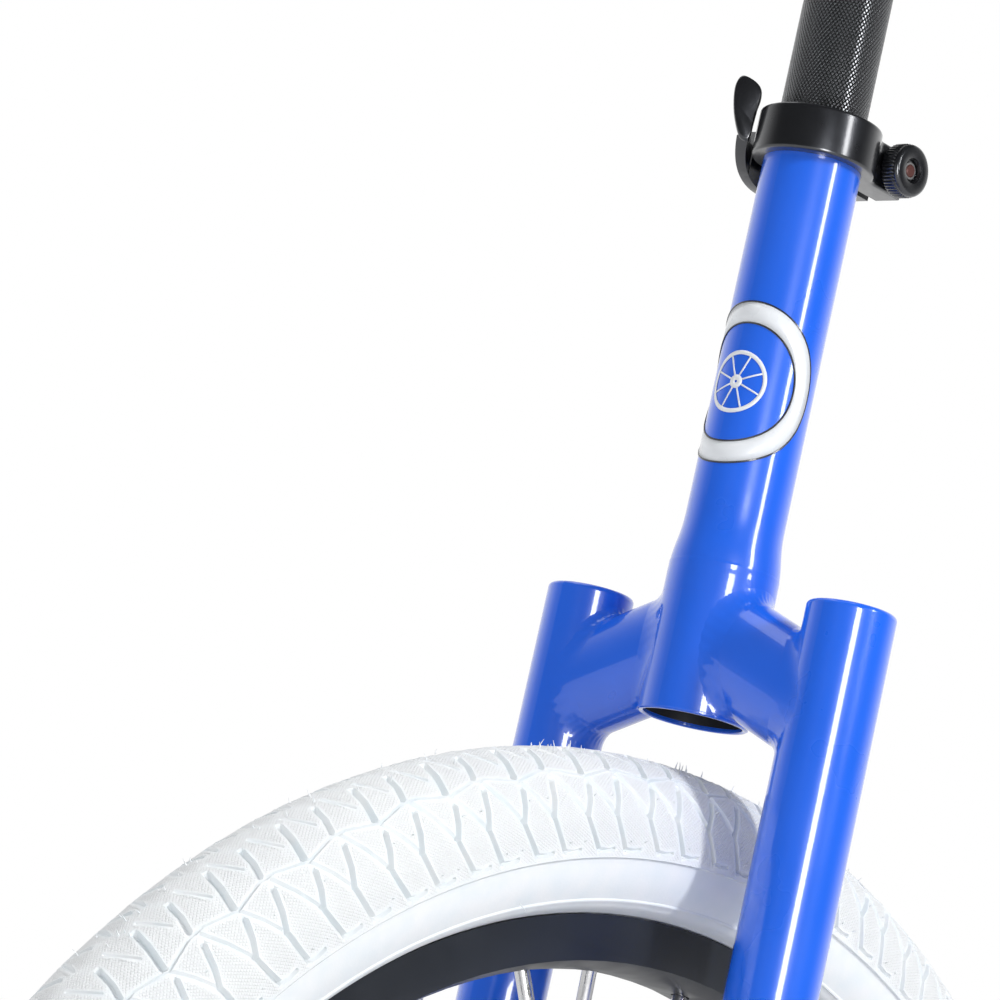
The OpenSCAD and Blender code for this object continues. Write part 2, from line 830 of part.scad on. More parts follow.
module crank_dust_caps() {
    cap_t = 1.6;
    color("black")
    for (side = [-1, 1]) on_side(side)
        bar_y(recess_d / 2 - run_fit, crank_in + crank_t - cap_t, crank_in + crank_t);
}

// ---------- pedals ----------

module pedal_spindle(side) {
    hex_y = crank_in + crank_t;
    color("dimgray")
    place_crank(side) {
        bar_y(pedal_thread_d / 2, crank_in + 1, hex_y, x = crank_len);
        bar_y(spindle_d / 2, hex_y - eps, spindle_end, x = crank_len);
        translate([crank_len, hex_y + spindle_hex_t, hub_z]) rotate([90, 0, 0])
            cylinder(h = spindle_hex_t, d = spindle_hex / cos(30), $fn = 6);
    }
}

module pedal_frame_bars() {
    top = hub_z - pedal_t / 2;
    front = crank_len - pedal_l / 2;
    difference() {
        translate([front, pedal_in, top]) cube([pedal_l, pedal_w, pedal_t]);
        translate([front + pedal_bar, pedal_in + pedal_bar, top - eps])
            cube([pedal_l - 2 * pedal_bar, pedal_w - 2 * pedal_bar, pedal_t + 2 * eps]);
    }
    for (x = [crank_len - pedal_l / 4, crank_len + pedal_l / 4])
        translate([x - pedal_bar / 4, pedal_in + eps, top + 2])
            cube([pedal_bar / 2, pedal_w - 2 * eps, pedal_t - 4]);
}

module pedal_body(side) {
    color("black")
    place_crank(side)
    difference() {
        union() {
            pedal_frame_bars();
            bar_y(pedal_barrel_r, pedal_in, pedal_out, x = crank_len);
            translate([crank_len, pedal_in + pedal_w / 2, hub_z])
                cube([pedal_l - 2 * eps, pedal_bar / 2, pedal_t - 4], center = true);
        }
        bar_y(bushing_r, pedal_in - eps, pedal_out + eps, x = crank_len);
        for (end = [-1, 1])
            translate([crank_len + end * pedal_l / 2, pedal_in + pedal_w / 2, hub_z])
                cube([2 * reflector_t, reflector_l + 2 * skin_gap, reflector_h + 2 * skin_gap],
                     center = true);
    }
}

module pedal_bushings(side) {
    color("tan")
    place_crank(side) {
        ring_y(bushing_r, spindle_d / 2 + run_fit, pedal_in, pedal_in + bushing_len, x = crank_len);
        ring_y(bushing_r, spindle_d / 2 + run_fit,
               spindle_end - bushing_len, spindle_end, x = crank_len);
    }
}

module pedal_cap(side) {
    color("black")
    place_crank(side) bar_y(bushing_r, pedal_out - pedal_cap_t, pedal_out, x = crank_len);
}

module pedal_reflectors(side) {
    color("orange")
    place_crank(side)
    for (end = [-1, 1])
        translate([crank_len + end * (pedal_l / 2 - reflector_t / 2), pedal_in + pedal_w / 2, hub_z])
            cube([reflector_t, reflector_l, reflector_h], center = true);
}

// ---------- seat clamp ----------

// The hollow corner between the collar and one ear, in the collar's plane.
module ear_blend() {
    mid_y = ear_half + ear_fillet;
    mid_x = -sqrt(pow(collar_r + ear_fillet, 2) - mid_y * mid_y);
    on_ring = [mid_x, mid_y] * collar_r / (collar_r + ear_fillet);
    difference() {
        polygon([on_ring, [mid_x, mid_y], [mid_x, ear_half], [mid_x, 0], [on_ring[0], 0]]);
        translate([mid_x, mid_y]) circle(r = ear_fillet);
    }
}

module collar_outline() {
    difference() {
        union() {
            circle(r = collar_r);
            translate([-ear_end, -ear_half]) square([ear_end, 2 * ear_half]);
            ear_blend();
            mirror([0, 1]) ear_blend();
        }
        translate([-ear_end - eps, -ears_gap / 2]) square([ear_end + eps, ears_gap]);
    }
}

module clamp_collar() {
    color("black")
    difference() {
        translate([0, 0, collar_z]) linear_extrude(height = collar_h) collar_outline();
        translate([0, 0, collar_z - eps])
            cylinder(h = collar_cover + eps, r = neck_d / 2 + run_fit);
        translate([0, 0, collar_z]) cylinder(h = collar_h + eps, r = lip_r);
        bar_y(skewer_d / 2 + bolt_room, -ears_w, ears_w, x = -skewer_back, z = skewer_z);
    }
}

nut_face_y = ear_half + nut_boss_t + nut_t;

module clamp_skewer() {
    color("gray")
    bar_y(skewer_d / 2, cam_y, nut_face_y - skewer_short, x = -skewer_back, z = skewer_z);
}

module clamp_nut() {
    chamfer = 0.8;
    ring_start = ear_half + nut_boss_t;
    color("black")
    difference() {
        translate([-skewer_back, 0, skewer_z]) rotate([-90, 0, 0])
            rotate_extrude() polygon([
                [0, ear_half + run_fit], [nut_boss_d / 2, ear_half + run_fit],
                [nut_boss_d / 2, ring_start], [nut_d / 2 - chamfer, ring_start],
                [nut_d / 2, ring_start + chamfer], [nut_d / 2, nut_face_y - chamfer],
                [nut_d / 2 - chamfer, nut_face_y], [0, nut_face_y],
            ]);
        bar_y(skewer_d / 2 + run_fit, 0, nut_face_y + eps, x = -skewer_back, z = skewer_z);
        bar_y(nut_recess_d / 2, nut_face_y - 1, nut_face_y + eps, x = -skewer_back, z = skewer_z);
    }
}

module clamp_shoe() {
    half = cam_r * 0.62;
    color("dimgray")
    difference() {
        translate([-skewer_back - half, -ear_half - shoe_t - 0.8, collar_z + 0.5])
            cube([2 * half, shoe_t + 0.8 - run_fit, collar_h - 1]);
        translate([-skewer_back, cam_y, collar_z - eps])
            cylinder(h = collar_h + 2 * eps, r = cam_r + cam_throw + run_fit);
        bar_y(skewer_d / 2 + bolt_room, -ears_w, 0, x = -skewer_back, z = skewer_z);
    }
}

// The pin lies upright across the skewer's end, with a hole that takes the skewer.
module clamp_cam_pin() {
    color("gray")
    difference() {
        translate([-skewer_back, cam_y, collar_z]) cylinder(h = collar_h, r = cam_pin_d / 2);
        bar_y(skewer_d / 2, cam_y, 0, x = -skewer_back, z = skewer_z);
    }
}

// The arm follows the collar in plan and sags in an arc when seen from the side.
module lever_arm() {
    reach = 2 * arm_out_r;
    intersection() {
        difference() {
            translate([0, 0, collar_z - 2 * collar_h]) cylinder(h = 5 * collar_h, r = arm_out_r);
            translate([0, 0, collar_z - 2 * collar_h - eps])
                cylinder(h = 5 * collar_h + 2 * eps, r = arm_in_r);
        }
        translate([0, 0, collar_z - 2 * collar_h]) linear_extrude(height = 5 * collar_h)
            polygon([
                [0, 0], reach * [cos(arm_back), sin(arm_back)],
                reach * [0, -1], reach * [cos(arm_front), sin(arm_front)],
            ]);
        translate([0, 0, -arm_h / 2]) difference() {
            ring_y(arm_arc_r + arm_h / 2, arm_arc_r - arm_h / 2, -reach, 0,
                   x = arm_mid_x, z = arm_mid_z + arm_h / 2);
            translate([arm_mid_x - reach, -reach - eps, skewer_z + arm_h])
                cube([2 * reach, reach + 2 * eps, reach]);
        }
    }
}

module lever_tab() {
    translate([0, 0, tab_low_z])
        rotate([90, 0, tab_bearing])
            translate([tab_mid_r, 0, -tab_t / 2])
                linear_extrude(height = tab_t) polygon([
                    [-tab_low_w / 2, 0], [tab_low_w / 2, 0],
                    [tab_top_w / 2 + 0.6, tab_top_z - tab_low_z - 2],
                    [tab_top_w / 2 - 1.4, tab_top_z - tab_low_z],
                    [-tab_top_w / 2 + 1.4, tab_top_z - tab_low_z],
                    [-tab_top_w / 2, tab_top_z - tab_low_z - 2],
                ]);
}

module clamp_lever() {
    web_x = arm_out_r * cos(arm_back) + 1.5;
    slot_h = skewer_d + 1;
    color("black")
    difference() {
        union() {
            translate([-skewer_back, cam_y + cam_throw, collar_z])
                cylinder(h = collar_h, r = cam_r);
            translate([-skewer_back, cam_y - cam_r + 1, skewer_z - arm_h / 2])
                cube([web_x + skewer_back, arm_t + 2, arm_h]);
            lever_arm();
            lever_tab();
        }
        translate([-skewer_back, cam_y, collar_z - eps])
            cylinder(h = collar_h + 2 * eps, r = cam_pin_d / 2 + run_fit);
        translate([-skewer_back, cam_y, skewer_z])
            difference() {
                translate([0, 0, -slot_h / 2]) cylinder(h = slot_h, r = 2 * cam_r);
                translate([cam_pin_d / 2 + 1, -2 * cam_r, -slot_h])
                    cube([2 * cam_r, 2 * cam_r + arm_h, 2 * slot_h]);
            }
    }
}

// ---------- seat post ----------

module seat_post() {
    round_end = 1;
    r = post_d / 2;
    bottom_z = post_top_z - post_len;
    color("dimgray")
    difference() {
        union() {
            translate([0, 0, bottom_z]) cylinder(h = post_len, r = r);
            translate([-plate_l / 2, -plate_w / 2, post_top_z]) cube([plate_l, plate_w, plate_t]);
        }
        translate([0, 0, bottom_z - eps])
            cylinder(h = post_len + eps - round_end, r = r - post_wall);
        for (x = [-1, 1], y = [-1, 1])
            translate([x * bolts_l / 2, y * bolts_w / 2, post_top_z - eps])
                cylinder(h = plate_t + 2 * eps, r = saddle_bolt_d / 2 + bolt_room);
    }
}

// ---------- saddle ----------

function ease(t) = t <= 0 ? 0 : pow(sin(90 * t), 2);
function end_taper(t) = pow(max(0, 1 - pow(abs(t), 4)), 0.45);
// Half the saddle's width where t runs from -1 at the tail to 1 at the nose.
function half_width(t) =
    (waist_w + (tail_w - waist_w) * ease(-t * 1.3 + 0.1) + (nose_w - waist_w) * ease(t)) / 2
    * end_taper(t);
steps = 26;
function step_t(i) = -cos(180 * i / steps);
function side_points(grow, side, list) = [
    for (i = list)
        [saddle_mid_x + (saddle_half_l + grow) * step_t(i),
         side * (half_width(step_t(i)) + (i == 0 || i == steps ? 0 : grow))]
];

// The saddle seen from above, grown all round by a given amount.
module saddle_outline(grow) {
    polygon(concat(side_points(grow, 1, [0 : steps]),
                   side_points(grow, -1, [steps - 1 : -1 : 1])));
}

// The part of the saddle's outline that lies between two distances from the sag's middle line.
module sag_layer(r_out, r_in, grow) {
    intersection() {
        translate([0, 0, saddle_z - sag_r]) linear_extrude(height = 3 * sag_r) saddle_outline(grow);
        ring_y(r_out, r_in, -tail_w, tail_w, z = sag_mid_z);
        translate([-sag_r, -tail_w, saddle_z - sag_r]) cube([2 * sag_r, 2 * tail_w, 2 * sag_r]);
    }
}

// Stands a shape on the saddle's underside, leaning with the sag, at x along it.
module on_sag(x, y) {
    translate([0, y, sag_mid_z]) rotate([0, asin(-x / sag_r), 0]) translate([0, 0, -sag_r])
        children();
}

module each_saddle_bolt() {
    for (x = [-1, 1], y = [-1, 1])
        translate([x * bolts_l / 2, y * bolts_w / 2, 0]) children();
}

screw_front_x = saddle_front - 22;
screw_rear_x = -saddle_rear + 22;
screw_y = 18;

module saddle_base() {
    color("black")
    difference() {
        union() {
            sag_layer(sag_r, base_top_r, -cover_t);
            translate([-plate_l / 2, -plate_w / 2, saddle_z]) cube([plate_l, plate_w, boss_h]);
        }
        each_saddle_bolt() translate([0, 0, saddle_z - eps])
            cylinder(h = saddle_bolt_up + 0.2 + eps, r = saddle_bolt_d / 2 + run_fit);
        for (x = [screw_front_x, screw_rear_x], y = [-screw_y, screw_y])
            on_sag(x, y) translate([0, 0, -eps])
                cylinder(h = base_t + 2 * eps, r = screw_d / 2 + run_fit);
    }
}

module saddle_foam() {
    color("khaki")
    difference() {
        sag_layer(base_top_r - skin_gap, foam_top_r, -cover_t - skin_gap);
        translate([-plate_l / 2 - 1, -plate_w / 2 - 1, saddle_z])
            cube([plate_l + 2, plate_w + 2, boss_h + 0.5]);
        for (x = [screw_front_x, screw_rear_x], y = [-screw_y, screw_y])
            on_sag(x, y) cylinder(h = base_t + 8, r = screw_d);
    }
}

module saddle_cover() {
    color("black")
    difference() {
        sag_layer(base_top_r, foam_top_r - skin_gap - cover_t, 0);
        sag_layer(base_top_r + eps, foam_top_r - skin_gap, -cover_t);
    }
}

module saddle_bolts() {
    color("silver")
    each_saddle_bolt() translate([0, 0, saddle_z - plate_t - saddle_bolt_down])
        cylinder(h = saddle_bolt_down + plate_t + saddle_bolt_up, r = saddle_bolt_d / 2);
}

module saddle_nuts() {
    color("silver")
    each_saddle_bolt() difference() {
        translate([0, 0, post_top_z - washer_t - saddle_nut_t]) union() {
            cylinder(h = saddle_nut_t, d = nut_flat / cos(30), $fn = 6);
            translate([0, 0, saddle_nut_t]) cylinder(h = washer_t, r = washer_d / 2);
        }
        translate([0, 0, post_top_z - 2 * saddle_nut_t])
            cylinder(h = 3 * saddle_nut_t, r = saddle_bolt_d / 2 + run_fit);
    }
}

// A bumper wraps the end of the saddle and tucks under its base.
module bumper(x0, x1) {
    color("black")
    difference() {
        intersection() {
            union() {
                difference() {
                    sag_layer(sag_r + bumper_t, sag_r - bumper_h, bumper_t + skin_gap);
                    sag_layer(sag_r + 2 * bumper_t, sag_r - bumper_h - eps, skin_gap);
                }
                sag_layer(sag_r + bumper_t, sag_r + 0.05, bumper_t / 2);
            }
            translate([x0, -tail_w, saddle_z - sag_r]) cube([x1 - x0, 2 * tail_w, 2 * sag_r]);
        }
        for (x = [screw_front_x, screw_rear_x], y = [-screw_y, screw_y])
            on_sag(x, y) translate([0, 0, -2 * bumper_t])
                cylinder(h = 4 * bumper_t, r = screw_d / 2 + bolt_room);
    }
}

module front_bumper() {
    bumper(saddle_front - bumper_l, saddle_front + 2 * bumper_t);
}

module rear_bumper() {
    bumper(-saddle_rear - 2 * bumper_t, -saddle_rear + bumper_l);
}

module bumper_screws() {
    color("silver")
    for (x = [screw_front_x, screw_rear_x], y = [-screw_y, screw_y])
        on_sag(x, y) {
            translate([0, 0, -bumper_t - screw_head_t - 0.1])
                cylinder(h = screw_head_t, r = screw_head_d / 2);
            translate([0, 0, -bumper_t - screw_head_t])
                cylinder(h = bumper_t + screw_head_t + base_t + 4, r = screw_d / 2);
        }
}

// ---------- nodes ----------

neck_tube();
crossbar(1);  // left_crossbar
crossbar(-1);  // right_crossbar
leg(1);  // left_leg
leg(-1);  // right_leg
bearing_seat(1);  // left_bearing_seat
bearing_seat(-1);  // right_bearing_seat
bearing_cap(1);  // left_bearing_cap
bearing_cap(-1);  // right_bearing_cap
bearing_cap_bolts();
bearing_outer_races();
bearing_inner_races();
bearing_balls();
bearing_cages();
bearing_seals();
tyre();
inner_tube();
valve_stem();
valve_cap();
rim();
rim_tape();
spokes(1);  // left_spokes
spokes(-1);  // right_spokes
spoke_nipples();
hub_shell();
axle();
crank(1);  // left_crank
crank(-1);  // right_crank
crank_bolts();
crank_dust_caps();
pedal_spindle(1);  // left_pedal_spindle
pedal_spindle(-1);  // right_pedal_spindle
pedal_body(1);  // left_pedal_body
pedal_body(-1);  // right_pedal_body
pedal_bushings(1);  // left_pedal_bushings
pedal_bushings(-1);  // right_pedal_bushings
pedal_cap(1);  // left_pedal_cap
pedal_cap(-1);  // right_pedal_cap
pedal_reflectors(1);  // left_pedal_reflectors
pedal_reflectors(-1);  // right_pedal_reflectors
clamp_collar();
clamp_skewer();
clamp_nut();
clamp_shoe();
clamp_cam_pin();
clamp_lever();
seat_post();
saddle_base();
saddle_foam();
saddle_cover();
saddle_bolts();
saddle_nuts();
front_bumper();
rear_bumper();
bumper_screws();
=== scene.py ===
"""Looks of the unicycle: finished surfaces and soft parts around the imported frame, in metres."""

import json
import math
import random

import bmesh
import bpy
import numpy as np
from mathutils import Matrix, Vector, geometry


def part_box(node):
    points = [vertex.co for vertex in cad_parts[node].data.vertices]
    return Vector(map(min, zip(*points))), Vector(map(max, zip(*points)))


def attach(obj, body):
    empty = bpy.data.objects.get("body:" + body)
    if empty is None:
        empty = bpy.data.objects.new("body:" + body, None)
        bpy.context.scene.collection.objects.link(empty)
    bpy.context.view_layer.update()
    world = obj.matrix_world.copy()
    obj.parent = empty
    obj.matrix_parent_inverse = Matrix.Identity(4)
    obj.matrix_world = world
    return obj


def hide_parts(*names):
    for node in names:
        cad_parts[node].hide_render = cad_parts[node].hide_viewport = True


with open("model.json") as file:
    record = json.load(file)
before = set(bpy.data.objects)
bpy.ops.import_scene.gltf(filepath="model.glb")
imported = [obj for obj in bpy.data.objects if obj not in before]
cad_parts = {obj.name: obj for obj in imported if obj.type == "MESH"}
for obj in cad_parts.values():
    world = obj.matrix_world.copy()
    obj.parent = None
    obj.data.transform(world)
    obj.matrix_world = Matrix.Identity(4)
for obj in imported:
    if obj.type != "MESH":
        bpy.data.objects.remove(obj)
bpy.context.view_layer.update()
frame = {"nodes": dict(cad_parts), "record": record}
nodes = frame["nodes"]
record = frame["record"]
body_of = {n: b for b, members in record["behaviour"]["bodies"].items() for n in members}
slot_of = {part["node"]: part["material_slot"] for part in record["subparts"]}
rng = random.Random(11)
MM = 0.001


# ---------- places and sizes, from the frame ----------

def mid(node):
    low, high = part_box(node)
    return (low + high) / 2


tyre_low, tyre_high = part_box("tyre")
HUB = Vector((0, 0, (tyre_low.z + tyre_high.z) / 2))
WHEEL_R = (tyre_high.z - tyre_low.z) / 2
SECTION_R = tyre_high.y
SECTION_MID_R = WHEEL_R - SECTION_R
rim_low, rim_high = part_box("rim")
RIM_TOP_R = (rim_high.z - rim_low.z) / 2
RIM_HALF = rim_high.y
NECK_LOW_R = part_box("neck_tube")[1].x
NECK_BOTTOM_Z, NECK_TOP_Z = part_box("neck_tube")[0].z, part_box("neck_tube")[1].z
NECK_R = 14.3 * MM
LEG_R = (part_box("left_leg")[1].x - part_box("left_leg")[0].x) / 2
LEG_Y = mid("left_leg").y
SEAT_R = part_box("left_bearing_seat")[1].z - HUB.z
POST_R = 12.7 * MM
POST_BOTTOM_Z, POST_TOP_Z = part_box("seat_post")[0].z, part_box("seat_post")[1].z
COLLAR_TOP_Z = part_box("clamp_collar")[1].z
SKEWER_X, SKEWER_Z = mid("clamp_nut").x, mid("clamp_nut").z
# The crossbars' middle lines: their heights at the neck and at the leg, and their oval section.
BAR_HIGH_Z, BAR_LOW_Z = HUB.z + 292.4 * MM, HUB.z + 272.5 * MM
BAR_END_R = 10 * MM


# ---------- materials ----------

def link(material, source, target):
    """Joins two sockets. Here and below, the world can stand in a material's place."""
    material.node_tree.links.new(source, target)


def add(material, kind, inputs=None, **settings):
    """A shader node with its settings and inputs. An input is a value or another node's socket."""
    node = material.node_tree.nodes.new(kind)
    for key, value in settings.items():
        setattr(node, key, value)
    for key, value in (inputs or {}).items():
        if isinstance(value, bpy.types.NodeSocket):
            link(material, value, node.inputs[key])
        else:
            node.inputs[key].default_value = value
    return node


def math_node(material, operation, a, b=0.0, c=0.0):
    return add(material, "ShaderNodeMath", {0: a, 1: b, 2: c}, operation=operation).outputs[0]


def noise(material, scale, detail=3.0, where=None):
    place = where or add(material, "ShaderNodeTexCoord").outputs["Object"]
    return add(material, "ShaderNodeTexNoise",
               {"Vector": place, "Scale": scale, "Detail": detail}).outputs["Fac"]


def span(material, value, low, high, from_low=0.3, from_high=0.7, **settings):
    """A value brought from one range to another."""
    return add(material, "ShaderNodeMapRange", {
        "Value": value, "From Min": from_low, "From Max": from_high,
        "To Min": low, "To Max": high}, **settings).outputs["Result"]


def blend_color(material, share, first, second):
    node = add(material, "ShaderNodeMix", data_type="RGBA")
    for socket, value in (("Factor", share), ("A", first), ("B", second)):
        found = [s for s in node.inputs if s.name == socket and s.enabled]
        target = found[-1] if socket != "Factor" else found[0]
        if isinstance(value, bpy.types.NodeSocket):
            link(material, value, target)
        else:
            target.default_value = (*value, 1) if socket != "Factor" else value
    return [s for s in node.outputs if s.enabled][0]


def bump(material, height, distance, strength=1.0, under=None):
    inputs = {"Height": height, "Distance": distance, "Strength": strength}
    if under is not None:
        inputs["Normal"] = under
    return add(material, "ShaderNodeBump", inputs).outputs["Normal"]


def base_material(name, metallic=0.0, coat=0.0, coat_roughness=0.05, sheen=0.0, ior=1.5):
    material = bpy.data.materials.new(name)
    material.use_nodes = True
    shader = material.node_tree.nodes["Principled BSDF"]
    shader.inputs["Metallic"].default_value = metallic
    shader.inputs["Coat Weight"].default_value = coat
    shader.inputs["Coat Roughness"].default_value = coat_roughness
    shader.inputs["Sheen Weight"].default_value = sheen
    shader.inputs["IOR"].default_value = ior
    return material, shader


def surface(name, color, spread=0.06, scale=60, rough=(0.3, 0.4), grain=(900, 0.02 * MM),
            **kind):
    """A material whose colour, gloss and fine relief all vary a little over the surface."""
    material, shader = base_material(name, **kind)
    dark = [c * (1 - spread) for c in color]
    light = [min(1, c * (1 + spread)) for c in color]
    tone = blend_color(material, span(material, noise(material, scale), 0, 1), dark, light)
    link(material, tone, shader.inputs["Base Color"])
    link(material, span(material, noise(material, scale * 2.7), *rough), shader.inputs["Roughness"])
    relief = bump(material, noise(material, grain[0], 2.0), grain[1])
    link(material, relief, shader.inputs["Normal"])
    return material


def worn_metal(name, color, worn, **kind):
    """A finish that is lighter along the piece's edges, where it has been handled."""
    material = surface(name, color, **kind)
    shader = material.node_tree.nodes["Principled BSDF"]
    tone = shader.inputs["Base Color"].links[0].from_socket
    edge = add(material, "ShaderNodeNewGeometry").outputs["Pointiness"]
    share = span(material, edge, 0, 0.55, 0.52, 0.60)
    patchy = math_node(material, "MULTIPLY", share, noise(material, 160))
    link(material, blend_color(material, patchy, tone, worn), shader.inputs["Base Color"])
    return material


def brushed(name, color, along, rough=(0.22, 0.36), **kind):
    """Bright metal with fine lines along one axis."""
    material = surface(name, color, rough=rough, grain=(500, 0.01 * MM), metallic=1.0, **kind)
    shader = material.node_tree.nodes["Principled BSDF"]
    stretch = [900.0, 900.0, 900.0]
    stretch["xyz".index(along)] = 25.0
    place = add(material, "ShaderNodeMapping",
                {"Vector": add(material, "ShaderNodeTexCoord").outputs["Object"],
                 "Scale": stretch}).outputs["Vector"]
    lines = noise(material, 1.0, 4.0, place)
    under = shader.inputs["Normal"].links[0].from_socket
    link(material, bump(material, lines, 0.012 * MM, 1.0, under), shader.inputs["Normal"])
    return material


def crossed_lines(material, uv_name, across, along):
    """Ridges along both diagonals of a UV map, 0 in the grooves and 1 on top of the diamonds."""
    uv = add(material, "ShaderNodeUVMap", uv_map=uv_name).outputs["UV"]
    split = add(material, "ShaderNodeSeparateXYZ", {"Vector": uv})
    a = math_node(material, "MULTIPLY", split.outputs["X"], across)
    b = math_node(material, "MULTIPLY", split.outputs["Y"], along)
    rising = math_node(material, "PINGPONG", math_node(material, "ADD", a, b), 0.5)
    falling = math_node(material, "PINGPONG", math_node(material, "SUBTRACT", a, b), 0.5)
    lowest = math_node(material, "MINIMUM", rising, falling)
    return math_node(material, "MINIMUM", math_node(material, "MULTIPLY", lowest, 4.0), 1.0)


def tyre_rubber():
    """White rubber, with fine crossed lines on the tread blocks; in the grooves and on the plain
    sides it is greyer and bluer, which in the grooves is painted shade.
    """
    material, shader = base_material("white_rubber", ior=1.45)
    block = add(material, "ShaderNodeAttribute", attribute_name="block").outputs["Fac"]
    clean = blend_color(material, span(material, noise(material, 25), 0, 1),
                        (0.79, 0.81, 0.83), (0.83, 0.85, 0.86))
    # Off the knurled blocks the rubber is mottled greyer and bluer: painted shade in the grooves, a
    # plain mottle on the sides.
    mottle_and_groove_shade = blend_color(material, span(material, noise(material, 120), 0, 1, 0.35, 0.75),
                        clean, (0.75, 0.80, 0.83))
    link(material, blend_color(material, block, mottle_and_groove_shade, clean), shader.inputs["Base Color"])
    link(material, span(material, noise(material, 300), 0.48, 0.62), shader.inputs["Roughness"])
    lines = crossed_lines(material, "tread", 1080.0, 0.44)
    height = math_node(material, "MULTIPLY", lines, block)
    grain = bump(material, noise(material, 1500, 2.0), 0.02 * MM)
    link(material, bump(material, height, 0.17 * MM, 1.0, grain), shader.inputs["Normal"])
    return material


def post_knurl():
    """Black steel with a fine diamond knurl, its grooves painted near black as shade beside lighter
    diamond tops.
    """
    material, shader = base_material("black_knurl", metallic=0.8, ior=1.5)
    lines = crossed_lines(material, "knurl", 66.0, 0.55)
    # Near-black grooves and lighter diamond tops: painted shade in the knurl's grooves.
    tone = blend_color(material, lines, (0.005, 0.006, 0.007), (0.15, 0.155, 0.165))
    link(material, tone, shader.inputs["Base Color"])
    link(material, span(material, noise(material, 200), 0.17, 0.26), shader.inputs["Roughness"])
    link(material, bump(material, lines, 0.26 * MM), shader.inputs["Normal"])
    return material


def leather_grain():
    """Black saddle vinyl with a pebbled grain."""
    material, shader = base_material("saddle_vinyl", ior=1.48, sheen=0.15)
    place = add(material, "ShaderNodeTexCoord").outputs["Object"]
    cells = add(material, "ShaderNodeTexVoronoi", {"Vector": place, "Scale": 620.0},
                feature="DISTANCE_TO_EDGE").outputs["Distance"]
    pebble = math_node(material, "MINIMUM", math_node(material, "MULTIPLY", cells, 5.0), 1.0)
    tone = blend_color(material, pebble, (0.008, 0.008, 0.009), (0.021, 0.021, 0.023))
    link(material, tone, shader.inputs["Base Color"])
    link(material, span(material, noise(material, 90), 0.42, 0.56), shader.inputs["Roughness"])
    fine = bump(material, noise(material, 2500, 2.0), 0.02 * MM)
    link(material, bump(material, pebble, 0.12 * MM, 1.0, fine), shader.inputs["Normal"])
    return material


materials = {
    "frame_paint": surface("blue_paint", (0.006, 0.125, 0.80), spread=0.05, scale=14,
                           rough=(0.26, 0.34), grain=(420, 0.012 * MM),
                           coat=1.0, coat_roughness=0.03),
    "black_anodised": worn_metal("black_anodised", (0.030, 0.032, 0.038), (0.12, 0.12, 0.13),
                                 rough=(0.27, 0.36), metallic=0.75, grain=(1400, 0.01 * MM),
                                 coat=1.0, coat_roughness=0.16),
    "steel": brushed("bright_steel", (0.66, 0.66, 0.67), "y"),
    "dark_steel": brushed("dark_steel", (0.23, 0.23, 0.25), "y", rough=(0.3, 0.42)),
    "brass": surface("brass", (0.72, 0.49, 0.20), metallic=1.0, rough=(0.25, 0.4)),
    "black_rubber": surface("black_rubber", (0.02, 0.02, 0.021), rough=(0.6, 0.75),
                            grain=(1600, 0.03 * MM)),
    "white_rubber": tyre_rubber(),
    "black_plastic": worn_metal("black_plastic", (0.017, 0.017, 0.019), (0.07, 0.07, 0.075),
                                rough=(0.42, 0.55), grain=(2200, 0.04 * MM)),
    "grey_plastic": surface("grey_plastic", (0.20, 0.20, 0.21), rough=(0.4, 0.5)),
    "black_rim": surface("black_rim", (0.022, 0.026, 0.034), spread=0.12, scale=35,
                         rough=(0.34, 0.44), metallic=0.3, grain=(1100, 0.012 * MM)),
    "rim_tape": surface("rim_tape", (0.70, 0.16, 0.04), rough=(0.5, 0.6)),
    "alloy": brushed("polished_alloy", (0.74, 0.75, 0.77), "x", rough=(0.16, 0.28)),
    "amber": surface("amber_lens", (0.85, 0.23, 0.015), rough=(0.10, 0.18), coat=1.0),
    "black_steel": post_knurl(),
    "foam": surface("foam", (0.72, 0.62, 0.36), rough=(0.8, 0.9), grain=(900, 0.3 * MM)),
    "saddle_vinyl": leather_grain(),
}
decal_white = surface("decal_white", (0.80, 0.83, 0.87), spread=0.02, rough=(0.25, 0.32),
                      coat=0.6)
stud_copper = surface("coppered_stud", (0.10, 0.032, 0.027), rough=(0.4, 0.5), metallic=0.3)
# Bare steel, darkened to near black as painted shade inside the neck's bore.
shaded_bore_steel = surface("bore_steel_painted_shade", (0.018, 0.019, 0.024), rough=(0.5, 0.65), metallic=0.4)
decal_dark = surface("decal_outline", (0.01, 0.012, 0.02), rough=(0.3, 0.4), coat=0.6)
thread_black = surface("seam_thread", (0.03, 0.03, 0.032), rough=(0.55, 0.7), sheen=0.2)


# ---------- mesh helpers ----------

def finish_piece(piece, body, slot, material=None, replaces=(), crease=35):
    """Gives a piece its material, smooth shading up to a crease in degrees, and its body; the
    material is the slot's own unless one is given.
    """
    mesh = piece.data
    mesh.materials.clear()
    mesh.materials.append(material or materials[slot])
    mesh.shade_smooth()
    mesh.set_sharp_from_angle(angle=math.radians(crease))
    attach(piece, body)
    if replaces:
        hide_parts(*replaces)
    return piece


def placed(name, data):
    """A new object in the scene for a mesh, a lamp or a camera."""
    item = bpy.data.objects.new(name, data)
    bpy.context.scene.collection.objects.link(item)
    return item


def piece_from(name, vertices, faces):
    mesh = bpy.data.meshes.new(name)
    mesh.from_pydata([tuple(v) for v in vertices], [], [tuple(f) for f in faces])
    mesh.validate()
    return placed(name, mesh)


def piece_of(name, bm):
    bmesh.ops.recalc_face_normals(bm, faces=bm.faces)
    mesh = bpy.data.meshes.new(name)
    bm.to_mesh(mesh)
    bm.free()
    return placed(name, mesh)


